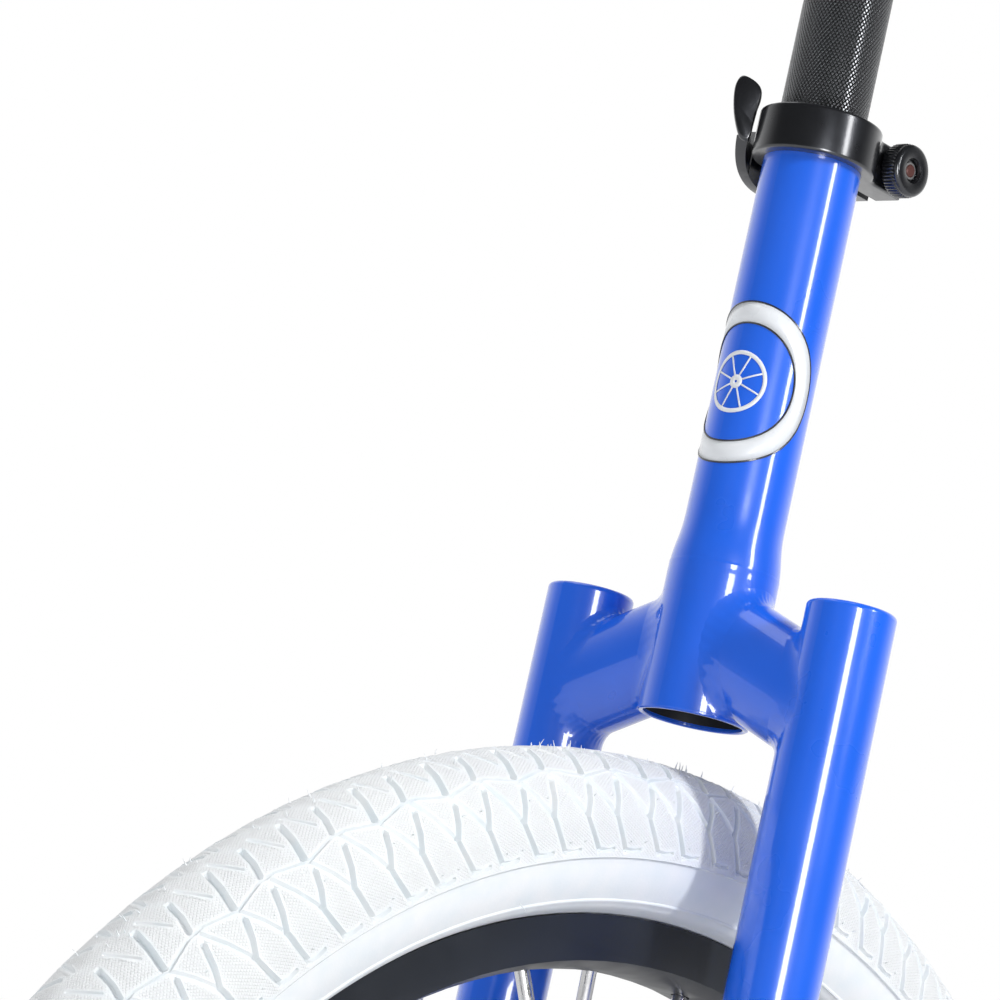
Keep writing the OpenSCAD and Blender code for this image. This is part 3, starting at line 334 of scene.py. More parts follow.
def join_doubles(mesh, distance):
    """Joins a mesh's doubled corners and turns its faces outwards."""
    bm = bmesh.new()
    bm.from_mesh(mesh)
    bmesh.ops.remove_doubles(bm, verts=bm.verts, dist=distance)
    bmesh.ops.recalc_face_normals(bm, faces=bm.faces)
    bm.to_mesh(mesh)
    bm.free()


def welded(node):
    """The CAD node's mesh with its doubled corners joined and its flat faces whole again."""
    bm = bmesh.new()
    bm.from_mesh(nodes[node].data)
    bmesh.ops.remove_doubles(bm, verts=bm.verts, dist=0.002 * MM)
    bmesh.ops.dissolve_limit(bm, angle_limit=math.radians(0.4), verts=bm.verts, edges=bm.edges)
    return bm


def rounded(node, width, segments=2, sharper_than=32, where=None):
    """A copy of a CAD node with its sharp edges rounded, standing for that node."""
    bm = welded(node)
    limit = math.radians(sharper_than)
    edges = [e for e in bm.edges if len(e.link_faces) == 2 and e.calc_face_angle(0) > limit
             and (where is None or all(where(v.co) for v in e.verts))]
    bmesh.ops.bevel(bm, geom=edges, offset=width, segments=segments, profile=0.6,
                    affect="EDGES", clamp_overlap=where is None)
    piece = piece_of(node + "_finished", bm)
    return finish_piece(piece, body_of[node], slot_of[node], None, [node])


def around(r, z, count, x=0.0, y=0.0):
    """A level ring of points."""
    turns = [math.tau * k / count for k in range(count)]
    return [Vector((x + r * math.cos(a), y + r * math.sin(a), z)) for a in turns]


def lathe(rings, closed=True, capped=False):
    """Vertices and faces of rings of points, each ring joined to the next all the way round."""
    faces = []
    count, columns = len(rings), len(rings[0])
    for i in range(count if closed else count - 1):
        a, b = i * columns, (i + 1) % count * columns
        for k in range(columns):
            n = (k + 1) % columns
            faces.append((a + k, a + n, b + n, b + k))
    if capped:
        faces.append(tuple(range(columns))[::-1])
        faces.append(tuple(range((count - 1) * columns, count * columns)))
    return [p for ring in rings for p in ring], faces


def extend(vertices, faces, more):
    """Adds one shape's vertices and faces to another's."""
    base = len(vertices)
    vertices.extend(more[0])
    faces.extend(tuple(base + i for i in face) for face in more[1])


def tube_along(points, radius, sides=10, closed=True):
    """A round tube along points. The radius is one number or one for each point."""
    rings = []
    count = len(points)
    normal = None
    for i, point in enumerate(points):
        ahead = points[(i + 1) % count] if closed or i + 1 < count else points[i]
        behind = points[i - 1] if closed or i > 0 else points[i]
        run = (ahead - behind).normalized()
        if normal is None:
            normal = run.orthogonal().normalized()
        normal = (normal - run * normal.dot(run)).normalized()
        side = run.cross(normal)
        r = radius[i] if isinstance(radius, list) else radius
        rings.append([point + (normal * math.cos(a) + side * math.sin(a)) * r
                      for a in (math.tau * k / sides for k in range(sides))])
    return lathe(rings, closed, capped=not closed)


# ---------- tyre ----------

REPEATS = 60                      # tread patterns round the tyre
REPEAT = 360 / REPEATS            # degrees
FIRST_REPEAT = 4.45               # where one pattern starts, in degrees from +X towards +Z
FAR_SIDE_SHIFT = 1.5              # the far side's pattern is turned on by this many degrees
TREAD_EDGE = 95                   # the tread ends this far round the section, in degrees
COLUMN = 1.0                      # degrees between the plain parts' columns
U_MM = math.radians(1) * WHEEL_R / MM
S_MM = math.radians(1) * SECTION_R / MM

# Grooves of one side of one pattern: points as (degrees round the wheel, degrees round the
# section), then half the width, the depth and the width of a wall, in millimetres.
GROOVES = [
    ([(1.0, 10), (0.5, 24), (-0.1, 39)], 1.15, 2.5, 0.8),
    ([(3.75, 11), (3.3, 24), (2.8, 34)], 1.0, 2.1, 0.7),
    ([(1.75, 4), (2.5, 24)], 0.6, 0.5, 0.4),
    ([(4.9, 5), (5.6, 26)], 0.6, 0.5, 0.4),
    ([(0.0, 43), (2.4, 37), (3.6, 37)], 0.5, 1.0, 0.35),
    ([(3.6, 37), (6.0, 43)], 0.45, 0.8, 0.3),
    ([(0.0, 43.5), (0.8, 56), (1.5, 68)], 0.85, 0.9, 0.6),
    ([(2.75, 45), (2.2, 58), (1.65, 69), (1.85, 80), (2.2, 90)], 1.0, 1.9, 0.7),
    ([(3.1, 39), (3.9, 54), (4.65, 68)], 0.85, 0.9, 0.6),
    ([(5.9, 49), (5.4, 60), (4.85, 70), (5.1, 80), (5.55, 90)], 1.0, 1.9, 0.7),
    ([(2.2, 90), (3.1, 90.8), (3.8, 89.8)], 0.65, 1.1, 0.55),
    ([(5.55, 90), (6.45, 90.8), (7.15, 89.8)], 0.65, 1.1, 0.55),
]
BORDER = 0.95                     # the smooth border of a block, beside a groove
SHARP_BORDER = 0.35               # the part of the border before its knurl starts to show
SUNK = 0.14                       # how far a block's knurled middle lies below its border
ROW = 7                           # degrees between the plain parts' rows, at the least
VENTS = [(1.6, 57), (2.75, 85), (4.15, 85), (5.95, 57)]     # where each pattern's hairs stand


def groove_lines():
    """Every groove of a pattern on both sides, in millimetres over the unrolled tread."""
    for points, half, depth, wall in GROOVES:
        for side in (1, -1):
            shift = 0 if side > 0 else FAR_SIDE_SHIFT
            line = [Vector(((u + shift) * U_MM, side * s * S_MM)) for u, s in points]
            for turn in (-1, 0, 1):
                moved = [p + Vector((turn * REPEAT * U_MM, 0)) for p in line]
                if any(-2 < p.x < REPEAT * U_MM + 2 for p in moved):
                    yield moved, half, depth, wall


def stroke(line, half):
    """The outline of a line drawn with a round pen of a given half width."""
    left, right = [], []
    for i, p in enumerate(line):
        ahead = line[min(i + 1, len(line) - 1)] - p
        behind = p - line[max(i - 1, 0)]
        run = (ahead.normalized() + behind.normalized()).normalized()
        across = Vector((-run.y, run.x)) * half
        left.append(p + across)
        right.append(p - across)

    def end(place, run):
        run = run.normalized() * half * 0.7
        across = Vector((-run.y, run.x)) * 0.7
        return [place + run + across, place + run - across]

    tail = end(line[-1], line[-1] - line[-2])
    return left + tail + right[::-1] + end(line[0], line[0] - line[1])


def depth_at(p, lines):
    """How deep the tread lies at a point, and how far inside a block's knurl it is, 0 to 1."""
    deepest, knurl = 0.0, 1.0
    for line, half, depth, wall in lines:
        for a, b in zip(line, line[1:]):
            run = b - a
            t = max(0.0, min(1.0, (p - a).dot(run) / run.length_squared))
            d = (p - a - run * t).length
            ramp = max(0.0, min(1.0, (half - d) / wall))
            deepest = max(deepest, depth * ramp)
            inside = (d - half - SHARP_BORDER) / (BORDER - SHARP_BORDER)
            knurl = min(knurl, max(0.0, inside))
    return max(deepest, SUNK * knurl), knurl


def tread_sheet():
    """One pattern of the tread, flat: its points, their depths and its triangles."""
    width = REPEAT * U_MM
    edge = TREAD_EDGE * S_MM
    lines = list(groove_lines())
    points, segments = [], []

    def outline(ring):
        start = len(points)
        points.extend(ring)
        segments.extend((start + i, start + (i + 1) % len(ring)) for i in range(len(ring)))

    columns = int(REPEAT / COLUMN)
    rows = int(TREAD_EDGE / ROW)
    tall = 2 * rows + 1
    for i in range(-1, columns + 2):
        for j in range(-rows, rows + 1):
            points.append(Vector((width * i / columns, edge * j / rows)))
    for j in (0, tall - 1):
        row = [i * tall + j for i in range(columns + 3)]
        segments.extend(zip(row, row[1:]))
    for i in (1, columns + 1):
        column = [i * tall + j for j in range(tall)]
        segments.extend(zip(column, column[1:]))
    for line, half, _, wall in lines:
        for reach in (half + BORDER, half, half - wall):
            outline(stroke(line, reach))
    vertices, _, triangles, _, _, _ = geometry.delaunay_2d_cdt(points, segments, [], 0, 1e-4)
    kept = [t for t in triangles
            if 0 < sum(vertices[i].x for i in t) / 3 < width
            and abs(sum(vertices[i].y for i in t) / 3) < edge]
    used = sorted({i for t in kept for i in t})
    place = {old: new for new, old in enumerate(used)}
    flat = [vertices[i] for i in used]
    depths = [depth_at(p, lines) for p in flat]
    return flat, depths, [tuple(place[i] for i in t) for t in kept]


def on_tyre(u, s, lift=0.0):
    """A point on the tyre: degrees round the wheel and round the section, and metres above it."""
    rho = SECTION_R + lift
    r = SECTION_MID_R + rho * math.cos(math.radians(s))
    t = math.radians(u)
    return Vector((r * math.cos(t), rho * math.sin(math.radians(s)), HUB.z + r * math.sin(t)))


def side_profile():
    """The left side from the tread's edge to the bead and inside, as (radius, sideways)."""
    profile = []
    for s, lift in [(95.6, -0.85), (97, -0.95), (100, -0.95), (105, -0.9), (110, -0.85),
                    (115, -0.85), (120, -0.9), (123.4, -0.95), (124.2, -0.55), (125.2, -0.5),
                    (126.0, -0.95), (129, -1.0), (132, -1.2)]:
        rho = SECTION_R + lift * MM
        a = math.radians(s)
        profile.append((SECTION_MID_R + rho * math.cos(a), rho * math.sin(a)))
    lip = RIM_TOP_R + 0.35 * MM
    bead = RIM_HALF - 1.9 * MM
    profile += [(lip + 0.5 * MM, RIM_HALF + 0.9 * MM), (lip, RIM_HALF - 0.2 * MM), (lip, bead),
                (lip - 7.7 * MM, bead), (lip - 7.7 * MM, bead - 2.6 * MM),
                (lip - 1 * MM, bead - 2.6 * MM)]
    inner = SECTION_R - 4 * MM
    start = math.pi - math.asin((bead - 1 * MM) / inner)
    for k in range(7):
        a = start * (1 - k / 7)
        profile.append((SECTION_MID_R + inner * math.cos(a), inner * math.sin(a)))
    return profile


def tyre():
    """The tyre: one tread pattern repeated all the way round, and the plain sides and inside."""
    flat, depths, triangles = tread_sheet()
    vertices, faces, uvs, blocks = [], [], [], []
    fade = 3                      # the knurl fades out over the last degrees before the edge
    for k in range(REPEATS):
        turn = FIRST_REPEAT + k * REPEAT
        pattern = []
        for p, (depth, knurl) in zip(flat, depths):
            u, s = turn + p.x / U_MM, p.y / S_MM
            pattern.append(on_tyre(u, s, -depth * MM))
            uvs.append((u / 360, s))
            blocks.append(knurl * min(1.0, max(0.0, (TREAD_EDGE - abs(s)) / fade)))
        extend(vertices, faces, (pattern, triangles))
    angles = [math.radians(FIRST_REPEAT + COLUMN * k) for k in range(int(360 / COLUMN))]
    profile = side_profile()
    loop = profile + [(r, -y) for r, y in reversed(profile)]
    edge = on_tyre(0, TREAD_EDGE)
    loop = [(edge.x, edge.y)] + loop + [(edge.x, -edge.y)]
    rings = [[Vector((r * math.cos(a), y, HUB.z + r * math.sin(a))) for a in angles]
             for r, y in loop]
    extend(vertices, faces, lathe(rings, closed=False))
    uvs += [(a / math.tau, 0) for a in angles] * len(loop)
    blocks += [0.0] * len(angles) * len(loop)
    mesh = bpy.data.meshes.new("tyre_with_tread")
    mesh.from_pydata([tuple(v) for v in vertices], [], faces)
    corner_uv = mesh.uv_layers.new(name="tread")
    corners = np.zeros(len(mesh.loops), np.int32)
    mesh.loops.foreach_get("vertex_index", corners)
    corner_uv.data.foreach_set("uv", np.array(uvs, np.float32)[corners].ravel())
    block = mesh.attributes.new("block", "FLOAT", "POINT")
    block.data.foreach_set("value", np.array(blocks, np.float32))
    join_doubles(mesh, 0.02 * MM)
    piece = placed("tyre_with_tread", mesh)
    finish_piece(piece, "wheel", "white_rubber", None, ["tyre"], crease=28)


def mould_hairs():
    """The thin rubber hairs that a tyre's mould leaves on its blocks and along its shoulder."""
    vertices, faces = [], []

    def hair(u, s, length):
        foot = on_tyre(u, s, -0.1 * MM)
        out = (on_tyre(u, s, 1 * MM) - foot).normalized()
        lean = Vector([rng.uniform(-0.7, 0.7) for _ in range(3)])
        across = out.orthogonal().normalized()
        turns = [Matrix.Rotation(math.tau * k / 4, 3, out) for k in range(4)]
        rings = []
        for share, r in ((0, 0.22), (0.5, 0.14), (1, 0.05)):
            middle = foot + out * length * share + lean * length * 0.6 * share * share
            rings.append([middle + turn @ across * r * MM for turn in turns])
        extend(vertices, faces, lathe(rings, closed=False, capped=True))

    for k in range(REPEATS):
        for side in (1, -1):
            shift = FIRST_REPEAT + k * REPEAT + (0 if side > 0 else FAR_SIDE_SHIFT)
            for u, s in VENTS:
                hair(shift + u, side * s, rng.uniform(0.6, 1.3) * MM)
            for _ in range(rng.choice((1, 2, 4, 6))):
                hair(shift + rng.uniform(0, REPEAT), side * rng.uniform(0, 18),
                     rng.uniform(0.6, 2.4) * MM)
            if rng.random() < 0.1:
                hair(shift + rng.uniform(0, REPEAT), side * rng.uniform(110, 119),
                     rng.uniform(2, 3.4) * MM)
    piece = piece_from("tyre_mould_hairs", vertices, faces)
    finish_piece(piece, "wheel", "white_rubber")


# ---------- frame ----------

def weld_bead(name, centre, radius, body, ripple=0.1):
    """A weld's softly rippled bead along a closed line."""
    radii = [radius * (1 + ripple * 0.5 * math.sin(i * math.tau / 6)) for i in range(len(centre))]
    piece = piece_from(name, *tube_along(centre, radii, 12))
    return finish_piece(piece, body, "frame_paint", crease=80)


def oval_point(a, grow=0.0):
    """A point of a crossbar's oval, across and upwards, where its surface faces the angle a."""
    across, up = math.cos(a), math.sin(a)
    if abs(up) <= 0.6:
        r = 20 * MM + grow
        return r * across - math.copysign(8 * MM, across), r * up
    r = BAR_END_R + grow
    return r * across, math.copysign(6 * MM, up) + r * up


def bar_joint(side, to_leg, bar_grow=0.0, tube_grow=0.0, count=180):
    """The line where a crossbar meets the neck, or the leg, with either of them grown a little."""
    lean = math.atan2(BAR_HIGH_Z - BAR_LOW_Z, LEG_Y)
    run = Vector((0, side * math.cos(lean), -math.sin(lean)))
    up = Vector((0, side * math.sin(lean), math.cos(lean)))
    start = Vector((0, 0, BAR_HIGH_Z))
    axis_y = side * LEG_Y if to_leg else 0
    r = (LEG_R if to_leg else NECK_LOW_R) + tube_grow
    line = []
    for k in range(count):
        across, high = oval_point(math.tau * k / count, bar_grow)
        across = max(-0.985 * r, min(0.985 * r, across))
        p = start + Vector((across, 0, 0)) + up * high
        reach = math.sqrt(r * r - across * across)
        y = axis_y + (-side if to_leg else side) * reach
        place = p + run * ((y - p.y) / run.y)
        if not to_leg:
            place.z = max(place.z, NECK_BOTTOM_Z + 0.4 * MM)
        line.append(place)
    return line


def weld_fillet(name, side, to_leg, width=3.4 * MM):
    """The hollow, softly rippled weld between a crossbar and the neck, or the leg."""
    corner = bar_joint(side, to_leg)
    on_tube = bar_joint(side, to_leg, bar_grow=width)
    on_bar = bar_joint(side, to_leg, tube_grow=width)
    profile = 8
    axis = Vector((0, side * LEG_Y if to_leg else 0, 0))
    rings = []
    for k in range(len(corner)):
        ripple = 0.16 + 0.05 * math.sin(k * math.tau / 4.5) + rng.uniform(-0.01, 0.01)
        a, b, p = on_tube[k], on_bar[k], corner[k]
        p = p + ((a + b) / 2 - p) * ripple
        ring = [a * (1 - t) ** 2 + p * 2 * t * (1 - t) + b * t * t
                for t in (i / (profile - 1) for i in range(profile))]
        inward = Vector((axis.x - a.x, axis.y - a.y, 0)).normalized()
        under = corner[k] + inward * 0.9 * MM
        ring[0] = ring[0] + inward * 0.05 * MM
        ring += [b + (under - b).normalized() * 0.8 * MM, under]
        rings.append(ring)
    finish_piece(piece_from(name, *lathe(rings)), "frame", "frame_paint", crease=50)


def ring_joint(side, count=90):
    """The line where a leg's foot meets the round bearing seat."""
    reach = 8.6 * MM              # no farther sideways than the seat's own faces
    return [Vector((p.x, side * (LEG_Y + max(-reach, min(reach, p.y))),
                    HUB.z + math.sqrt(SEAT_R ** 2 - p.x ** 2))) for p in around(LEG_R, 0, count)]


def neck_ends():
    """The neck's softly drawn step, the round edge of its open lower end, and its inside, bare
    steel painted near black as shade.
    """
    low_z, high_z = NECK_BOTTOM_Z + 42.9 * MM, NECK_BOTTOM_Z + 52.9 * MM
    past = 9 * MM                 # the skin reaches this far beyond the step, above and below
    wall = 0.8 * MM
    columns = 96

    def cone(z):
        share = max(0, min(1, (z - low_z) / (high_z - low_z)))
        return NECK_LOW_R + (NECK_R - NECK_LOW_R) * share

    rings = [around(NECK_LOW_R - wall, low_z - past, columns)]
    for z in np.linspace(low_z - past, high_z + past, 34):
        eased = sum(cone(z + d * MM) for d in np.linspace(-4, 4, 17)) / 17
        bell = math.exp(-((z - (low_z + high_z) / 2) / (6 * MM)) ** 2)
        rings.append(around(eased + (0.015 + 0.17 * bell) * MM, z, columns))
    rings.append(around(NECK_R - wall, high_z + past, columns))
    skin = piece_from("neck_step_skin", *lathe(rings))
    finish_piece(skin, "frame", "frame_paint", crease=60)
    edge = around(NECK_LOW_R - wall, NECK_BOTTOM_Z + 0.45 * MM, columns)
    edge = piece_from("neck_lower_edge", *tube_along(edge, 0.84 * MM, 12))
    finish_piece(edge, "frame", "frame_paint", crease=60)
    # A near-black lining stands for the shade inside the neck's open lower end.
    bore = NECK_LOW_R - 2 * wall
    rings = [around(bore - thick * MM, NECK_BOTTOM_Z + z * MM, columns)
             for thick, heights in ((0.06, (0.9, 15, 38)), (0.3, (38, 15, 0.9))) for z in heights]
    inside = piece_from("neck_inside_painted_shade", *lathe(rings))
    finish_piece(inside, "frame", "frame_paint", shaded_bore_steel)


def decal():
    """A plain white ring with a small wheel drawn inside it, on the front of the neck."""
    centre_z = HUB.z + 363 * MM
    turned = math.radians(6)

    def on_neck(across, up, lift=0.12 * MM):
        a = turned + across / NECK_R
        r = NECK_R + lift
        return Vector((r * math.cos(a), r * math.sin(a), centre_z + up))

    vertices, faces = [], []

    for r_out, r_in, steps in ((23.5, 17.7, 120), (9.2, 8.0, 60), (2.0, 0.4, 24)):
        rings = [[on_neck(p.x, p.y) for p in around(r * MM, 0, steps)]
                 for r in (r_out, (r_out + r_in) / 2, r_in)]
        extend(vertices, faces, lathe(rings, closed=False))
    for k in range(8):
        turn = Matrix.Rotation(math.tau * (k + 0.5) / 8, 2)
        corners = [turn @ Vector((r, w)) * MM for r in (2, 3.5, 5, 6.5, 8) for w in (-0.25, 0.25)]
        extend(vertices, faces, ([on_neck(p.x, p.y) for p in corners],
                                 [(b, b + 1, b + 3, b + 2) for b in (0, 2, 4, 6)]))
    piece = piece_from("neck_decal", vertices, faces)
    thick = piece.modifiers.new("film", "SOLIDIFY")
    thick.thickness = 0.06 * MM
    thick.offset = 0
    finish_piece(piece, "frame", "frame_paint", decal_white)
    vertices, faces = [], []
    for r in (23.75 * MM, 17.45 * MM):
        line = [on_neck(p.x, p.y, 0.02 * MM) for p in around(r, 0, 160)]
        extend(vertices, faces, tube_along(line, 0.3 * MM, 6))
    edge = piece_from("neck_decal_outline", vertices, faces)
    finish_piece(edge, "frame", "frame_paint", decal_dark)


# ---------- clamp and post ----------

def knurled_nut():
    """The clamp's round nut, with straight knurling on its rim and a hollow face."""
    low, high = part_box("clamp_nut")
    r = (high.x - low.x) / 2
    columns = 4 * 44              # four to each tooth
    y0, y1 = low.y, high.y
    ring_y = y0 + (y1 - y0) * 0.16
    # (radius, y, depth of the knurl there)
    profile = [(2.9, y0, 0), (5.2, y0, 0), (5.5, y0 + 0.0003, 0), (5.5, ring_y, 0),
               (r / MM - 1.1, ring_y, 0), (r / MM - 0.35, ring_y + 0.0004, 1),
               (r / MM, ring_y + 0.001, 1), (r / MM, y1 - 0.0021, 1),
               (r / MM - 0.3, y1 - 0.0017, 1), (r / MM - 0.25, y1 - 0.0015, 0),
               (r / MM - 0.25, y1 - 0.0011, 0), (r / MM - 0.6, y1 - 0.0004, 0),
               (r / MM - 1.3, y1, 0), (4.4, y1 - 0.0001, 0), (3.7, y1 - 0.0003, 0),
               (3.3, y1 - 0.0012, 0), (3.2, y1 - 0.0022, 0), (2.75, y1 - 0.0024, 0),
               (2.7, y0 + 0.0002, 0)]
    rings = []
    for radius, y, knurl in profile:
        ring = []
        for k in range(columns):
            a = math.tau * k / columns
            cut = 0.32 * knurl if k % 4 == 0 else (0.1 * knurl if k % 2 else 0)
            rr = (radius - cut) * MM
            ring.append(Vector((SKEWER_X + rr * math.cos(a), y, SKEWER_Z + rr * math.sin(a))))
        rings.append(ring)
    piece = piece_from("knurled_clamp_nut", *lathe(rings))
    finish_piece(piece, "clamp_nut", "black_anodised", None, ["clamp_nut"], crease=40)


def clamp_lever():
    """The lever's cam and arm, and its leaf-shaped tab."""
    bm = welded("clamp_lever")
    # The arm's front end is cut off level, just below the tab that takes its place.
    clear_x = 5 * MM
    front = [v for v in bm.verts if v.co.x > clear_x]
    for items in (bm.edges, bm.faces):
        front += [item for item in items if all(v.co.x > clear_x for v in item.verts)]
    bmesh.ops.bisect_plane(bm, geom=front, dist=0.001 * MM, clear_outer=True,
                           plane_co=(0, 0, SKEWER_Z - 1.7 * MM), plane_no=(0, 0, 1))
    bmesh.ops.holes_fill(bm, edges=[e for e in bm.edges if e.is_boundary], sides=0)
    sharp = [e for e in bm.edges if len(e.link_faces) == 2 and e.calc_face_angle(0) > 0.5]
    bmesh.ops.bevel(bm, geom=sharp, offset=0.8 * MM, segments=3, profile=0.6,
                    affect="EDGES", clamp_overlap=True)
    arm = piece_of("clamp_lever_arm", bm)
    finish_piece(arm, "clamp_lever", "black_anodised", None, ["clamp_lever"])
    # The leaf's outline: outwards from the post and up from its stalk, in millimetres.
    leaf = [(-2.1, -1.4), (0.4, -1.3), (2.0, 1.0), (3.9, 5.8), (5.0, 10.8), (5.1, 14.6),
            (4.0, 17.1), (1.9, 17.2), (-1.0, 15.9), (-2.6, 14.0), (-3.0, 11.2), (-2.6, 7.8),
            (-2.4, 3.6)]
    bearing = math.radians(-50)
    outward = Vector((math.cos(bearing), math.sin(bearing), 0))
    along = Vector((-outward.y, outward.x, 0))
    foot = outward * 21.5 * MM + Vector((0, 0, SKEWER_Z - 1.5 * MM))
    smooth = []
    count = len(leaf)
    for i in range(count):
        p0, p1, p2, p3 = (Vector(leaf[(i + k) % count]) for k in (-1, 0, 1, 2))
        for t in (0, 0.25, 0.5, 0.75):
            smooth.append(0.5 * ((2 * p1) + (p2 - p0) * t + (2 * p0 - 5 * p1 + 4 * p2 - p3) * t * t
                                 + (3 * p1 - p0 - 3 * p2 + p3) * t ** 3))
    centre = sum(smooth, Vector((0, 0))) / len(smooth)
    rings = []
    for out, shrink in ((-1.5, 1.0), (-1.35, 0.5), (-1.0, 0.12), (-0.5, 0.0), (0.5, 0.0),
                        (1.0, 0.12), (1.35, 0.5), (1.5, 1.0)):
        ring = []
        for p in smooth:
            q = p + (centre - p).normalized() * shrink
            ring.append(foot + outward * q.x * MM + Vector((0, 0, q.y * MM)) + along * out * MM)
        rings.append(ring)
    tab = piece_from("clamp_lever_tab", *lathe(rings, closed=False, capped=True))
    finish_piece(tab, "clamp_lever", "black_anodised")


def stud_end():
    """The coppered end of the skewer that shows in the nut's hollow."""
    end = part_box("clamp_skewer")[1].y
    rings = []
    for r, past in ((1.9, -4), (1.9, 0.1), (1.6, 0.4), (0.9, 0.5), (0.01, 0.5)):
        rings.append([Vector((SKEWER_X + p.x, end + past * MM, SKEWER_Z + p.y))
                      for p in around(r * MM, 0, 40)])
    piece = piece_from("skewer_stud_end", *lathe(rings, closed=False))
    finish_piece(piece, "frame", "steel", stud_copper)


def knurled_post():
    """The seat post's tube, with its knurl laid out in a UV map."""
    plate_z = POST_TOP_Z - 4 * MM
    columns = 128
    heights = np.linspace(POST_BOTTOM_Z + 0.6 * MM, plate_z + 0.5 * MM, 90)
    profile = [(POST_R - 2 * MM, POST_BOTTOM_Z), (POST_R - 0.6 * MM, POST_BOTTOM_Z)]
    profile += [(POST_R, z) for z in heights]
    profile += [(POST_R - 2 * MM, plate_z + 0.5 * MM)]
    vertices, faces, uvs = [], [], []
    for r, z in profile:
        for k in range(columns + 1):
            a = math.tau * k / columns
            vertices.append(Vector((r * math.cos(a), r * math.sin(a), z)))
            uvs.append((k / columns, z / MM * 1.05))
    row = columns + 1
    for i in range(len(profile)):
        n = (i + 1) % len(profile)
        for k in range(columns):
            faces.append((i * row + k, i * row + k + 1, n * row + k + 1, n * row + k))
    piece = piece_from("knurled_seat_post", vertices, faces)
    mesh = piece.data
    layer = mesh.uv_layers.new(name="knurl")
    for loop in mesh.loops:
        layer.data[loop.index].uv = uvs[loop.vertex_index]
    join_doubles(mesh, 0.005 * MM)
    finish_piece(piece, "saddle", "black_steel", None, ["seat_post"])


def post_plate():
    """The plate that carries the saddle, with rounded corners, and its weld round the post."""
    low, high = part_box("seat_post")
    half_l, half_w = (high.x - low.x) / 2, (high.y - low.y) / 2
    z0, z1 = high.z - 4 * MM, high.z
    corner = 7 * MM
    outline = []
    for cx, cy, start in ((1, 1, 0), (-1, 1, 90), (-1, -1, 180), (1, -1, 270)):
        for k in range(7):
            a = math.radians(start + 15 * k)
            outline.append(Vector((cx * (half_l - corner) + corner * math.cos(a),
                                   cy * (half_w - corner) + corner * math.sin(a), 0)))
    rings = []
    edge = 0.5 * MM
    for z, inset in ((z0, 0.6 * MM), (z0 + edge, 0), (z1 - edge, 0), (z1, 0.6 * MM)):
        rings.append([Vector((p.x * (1 - inset / half_l), p.y * (1 - inset / half_w), z))
                      for p in outline])
    piece = piece_from("seat_post_plate", *lathe(rings, closed=False, capped=True))
    finish_piece(piece, "saddle", "black_steel", materials["black_plastic"])
    bead = around(POST_R, z0 - 0.4 * MM, 80)
    ring = weld_bead("seat_post_weld", bead, 2.2 * MM, "saddle", 0.3)
    ring.data.materials[0] = materials["black_plastic"]


# ---------- saddle ----------

def read(items, key):
    """Three numbers of each vertex, as rows."""
    values = np.zeros(len(items) * 3, np.float32)
    items.foreach_get(key, values)
    return values.reshape(-1, 3)


def cushion():
    """The padded saddle: the cover is blown up a little over its foam, as when it was stuffed."""
    bm = bmesh.new()
    bm.from_mesh(nodes["saddle_foam"].data)
    bmesh.ops.remove_doubles(bm, verts=bm.verts, dist=0.002 * MM)
    piece = piece_of("saddle_cushion", bm)
    shell = piece.modifiers.new("shell", "REMESH")
    shell.mode = "VOXEL"
    shell.voxel_size = 5 * MM
    bpy.context.view_layer.objects.active = piece
    piece.select_set(True)
    bpy.ops.object.modifier_apply(modifier=shell.name)
    mesh = piece.data
    normals = read(mesh.vertices, "normal")
    swell = normals * 1.2 * MM
    rest = read(mesh.vertices, "co") + swell
    pins = piece.vertex_groups.new(name="tacked")
    pins.add([i for i in range(len(rest)) if normals[i][2] < -0.35], 1.0, "REPLACE")
    cloth = piece.modifiers.new("cloth", "CLOTH")
    cloth.settings.use_pressure = True
    cloth.settings.uniform_pressure_force = 4
    cloth.settings.effector_weights.gravity = 0
    cloth.settings.vertex_group_mass = "tacked"
    cloth.settings.quality = 6
    cloth.settings.tension_stiffness = 25
    cloth.settings.compression_stiffness = 25
    for step in range(1, 21):
        bpy.context.scene.frame_set(step)
    blown = piece.evaluated_get(bpy.context.evaluated_depsgraph_get())
    shift = read(blown.to_mesh().vertices, "co") - rest + swell
    blown.to_mesh_clear()
    piece.modifiers.remove(cloth)
    bpy.context.scene.frame_set(1)
    length = np.linalg.norm(shift, axis=1, keepdims=True)
    most = 5 * MM
    rest = rest + shift * np.minimum(1, most / np.maximum(length, 1e-9))
    mesh.vertices.foreach_set("co", rest.astype(np.float32).ravel())
    mesh.update()
    ease = piece.modifiers.new("ease", "CORRECTIVE_SMOOTH")
    ease.iterations = 6
    ease.use_only_smooth = True
    piece.modifiers.new("fine", "SUBSURF").levels = 1
    for name in ("ease", "fine"):
        bpy.ops.object.modifier_apply(modifier=name)
    piece.select_set(False)
    finish_piece(piece, "saddle", "saddle_vinyl", None, ["saddle_foam", "saddle_cover"], crease=180)
    return piece


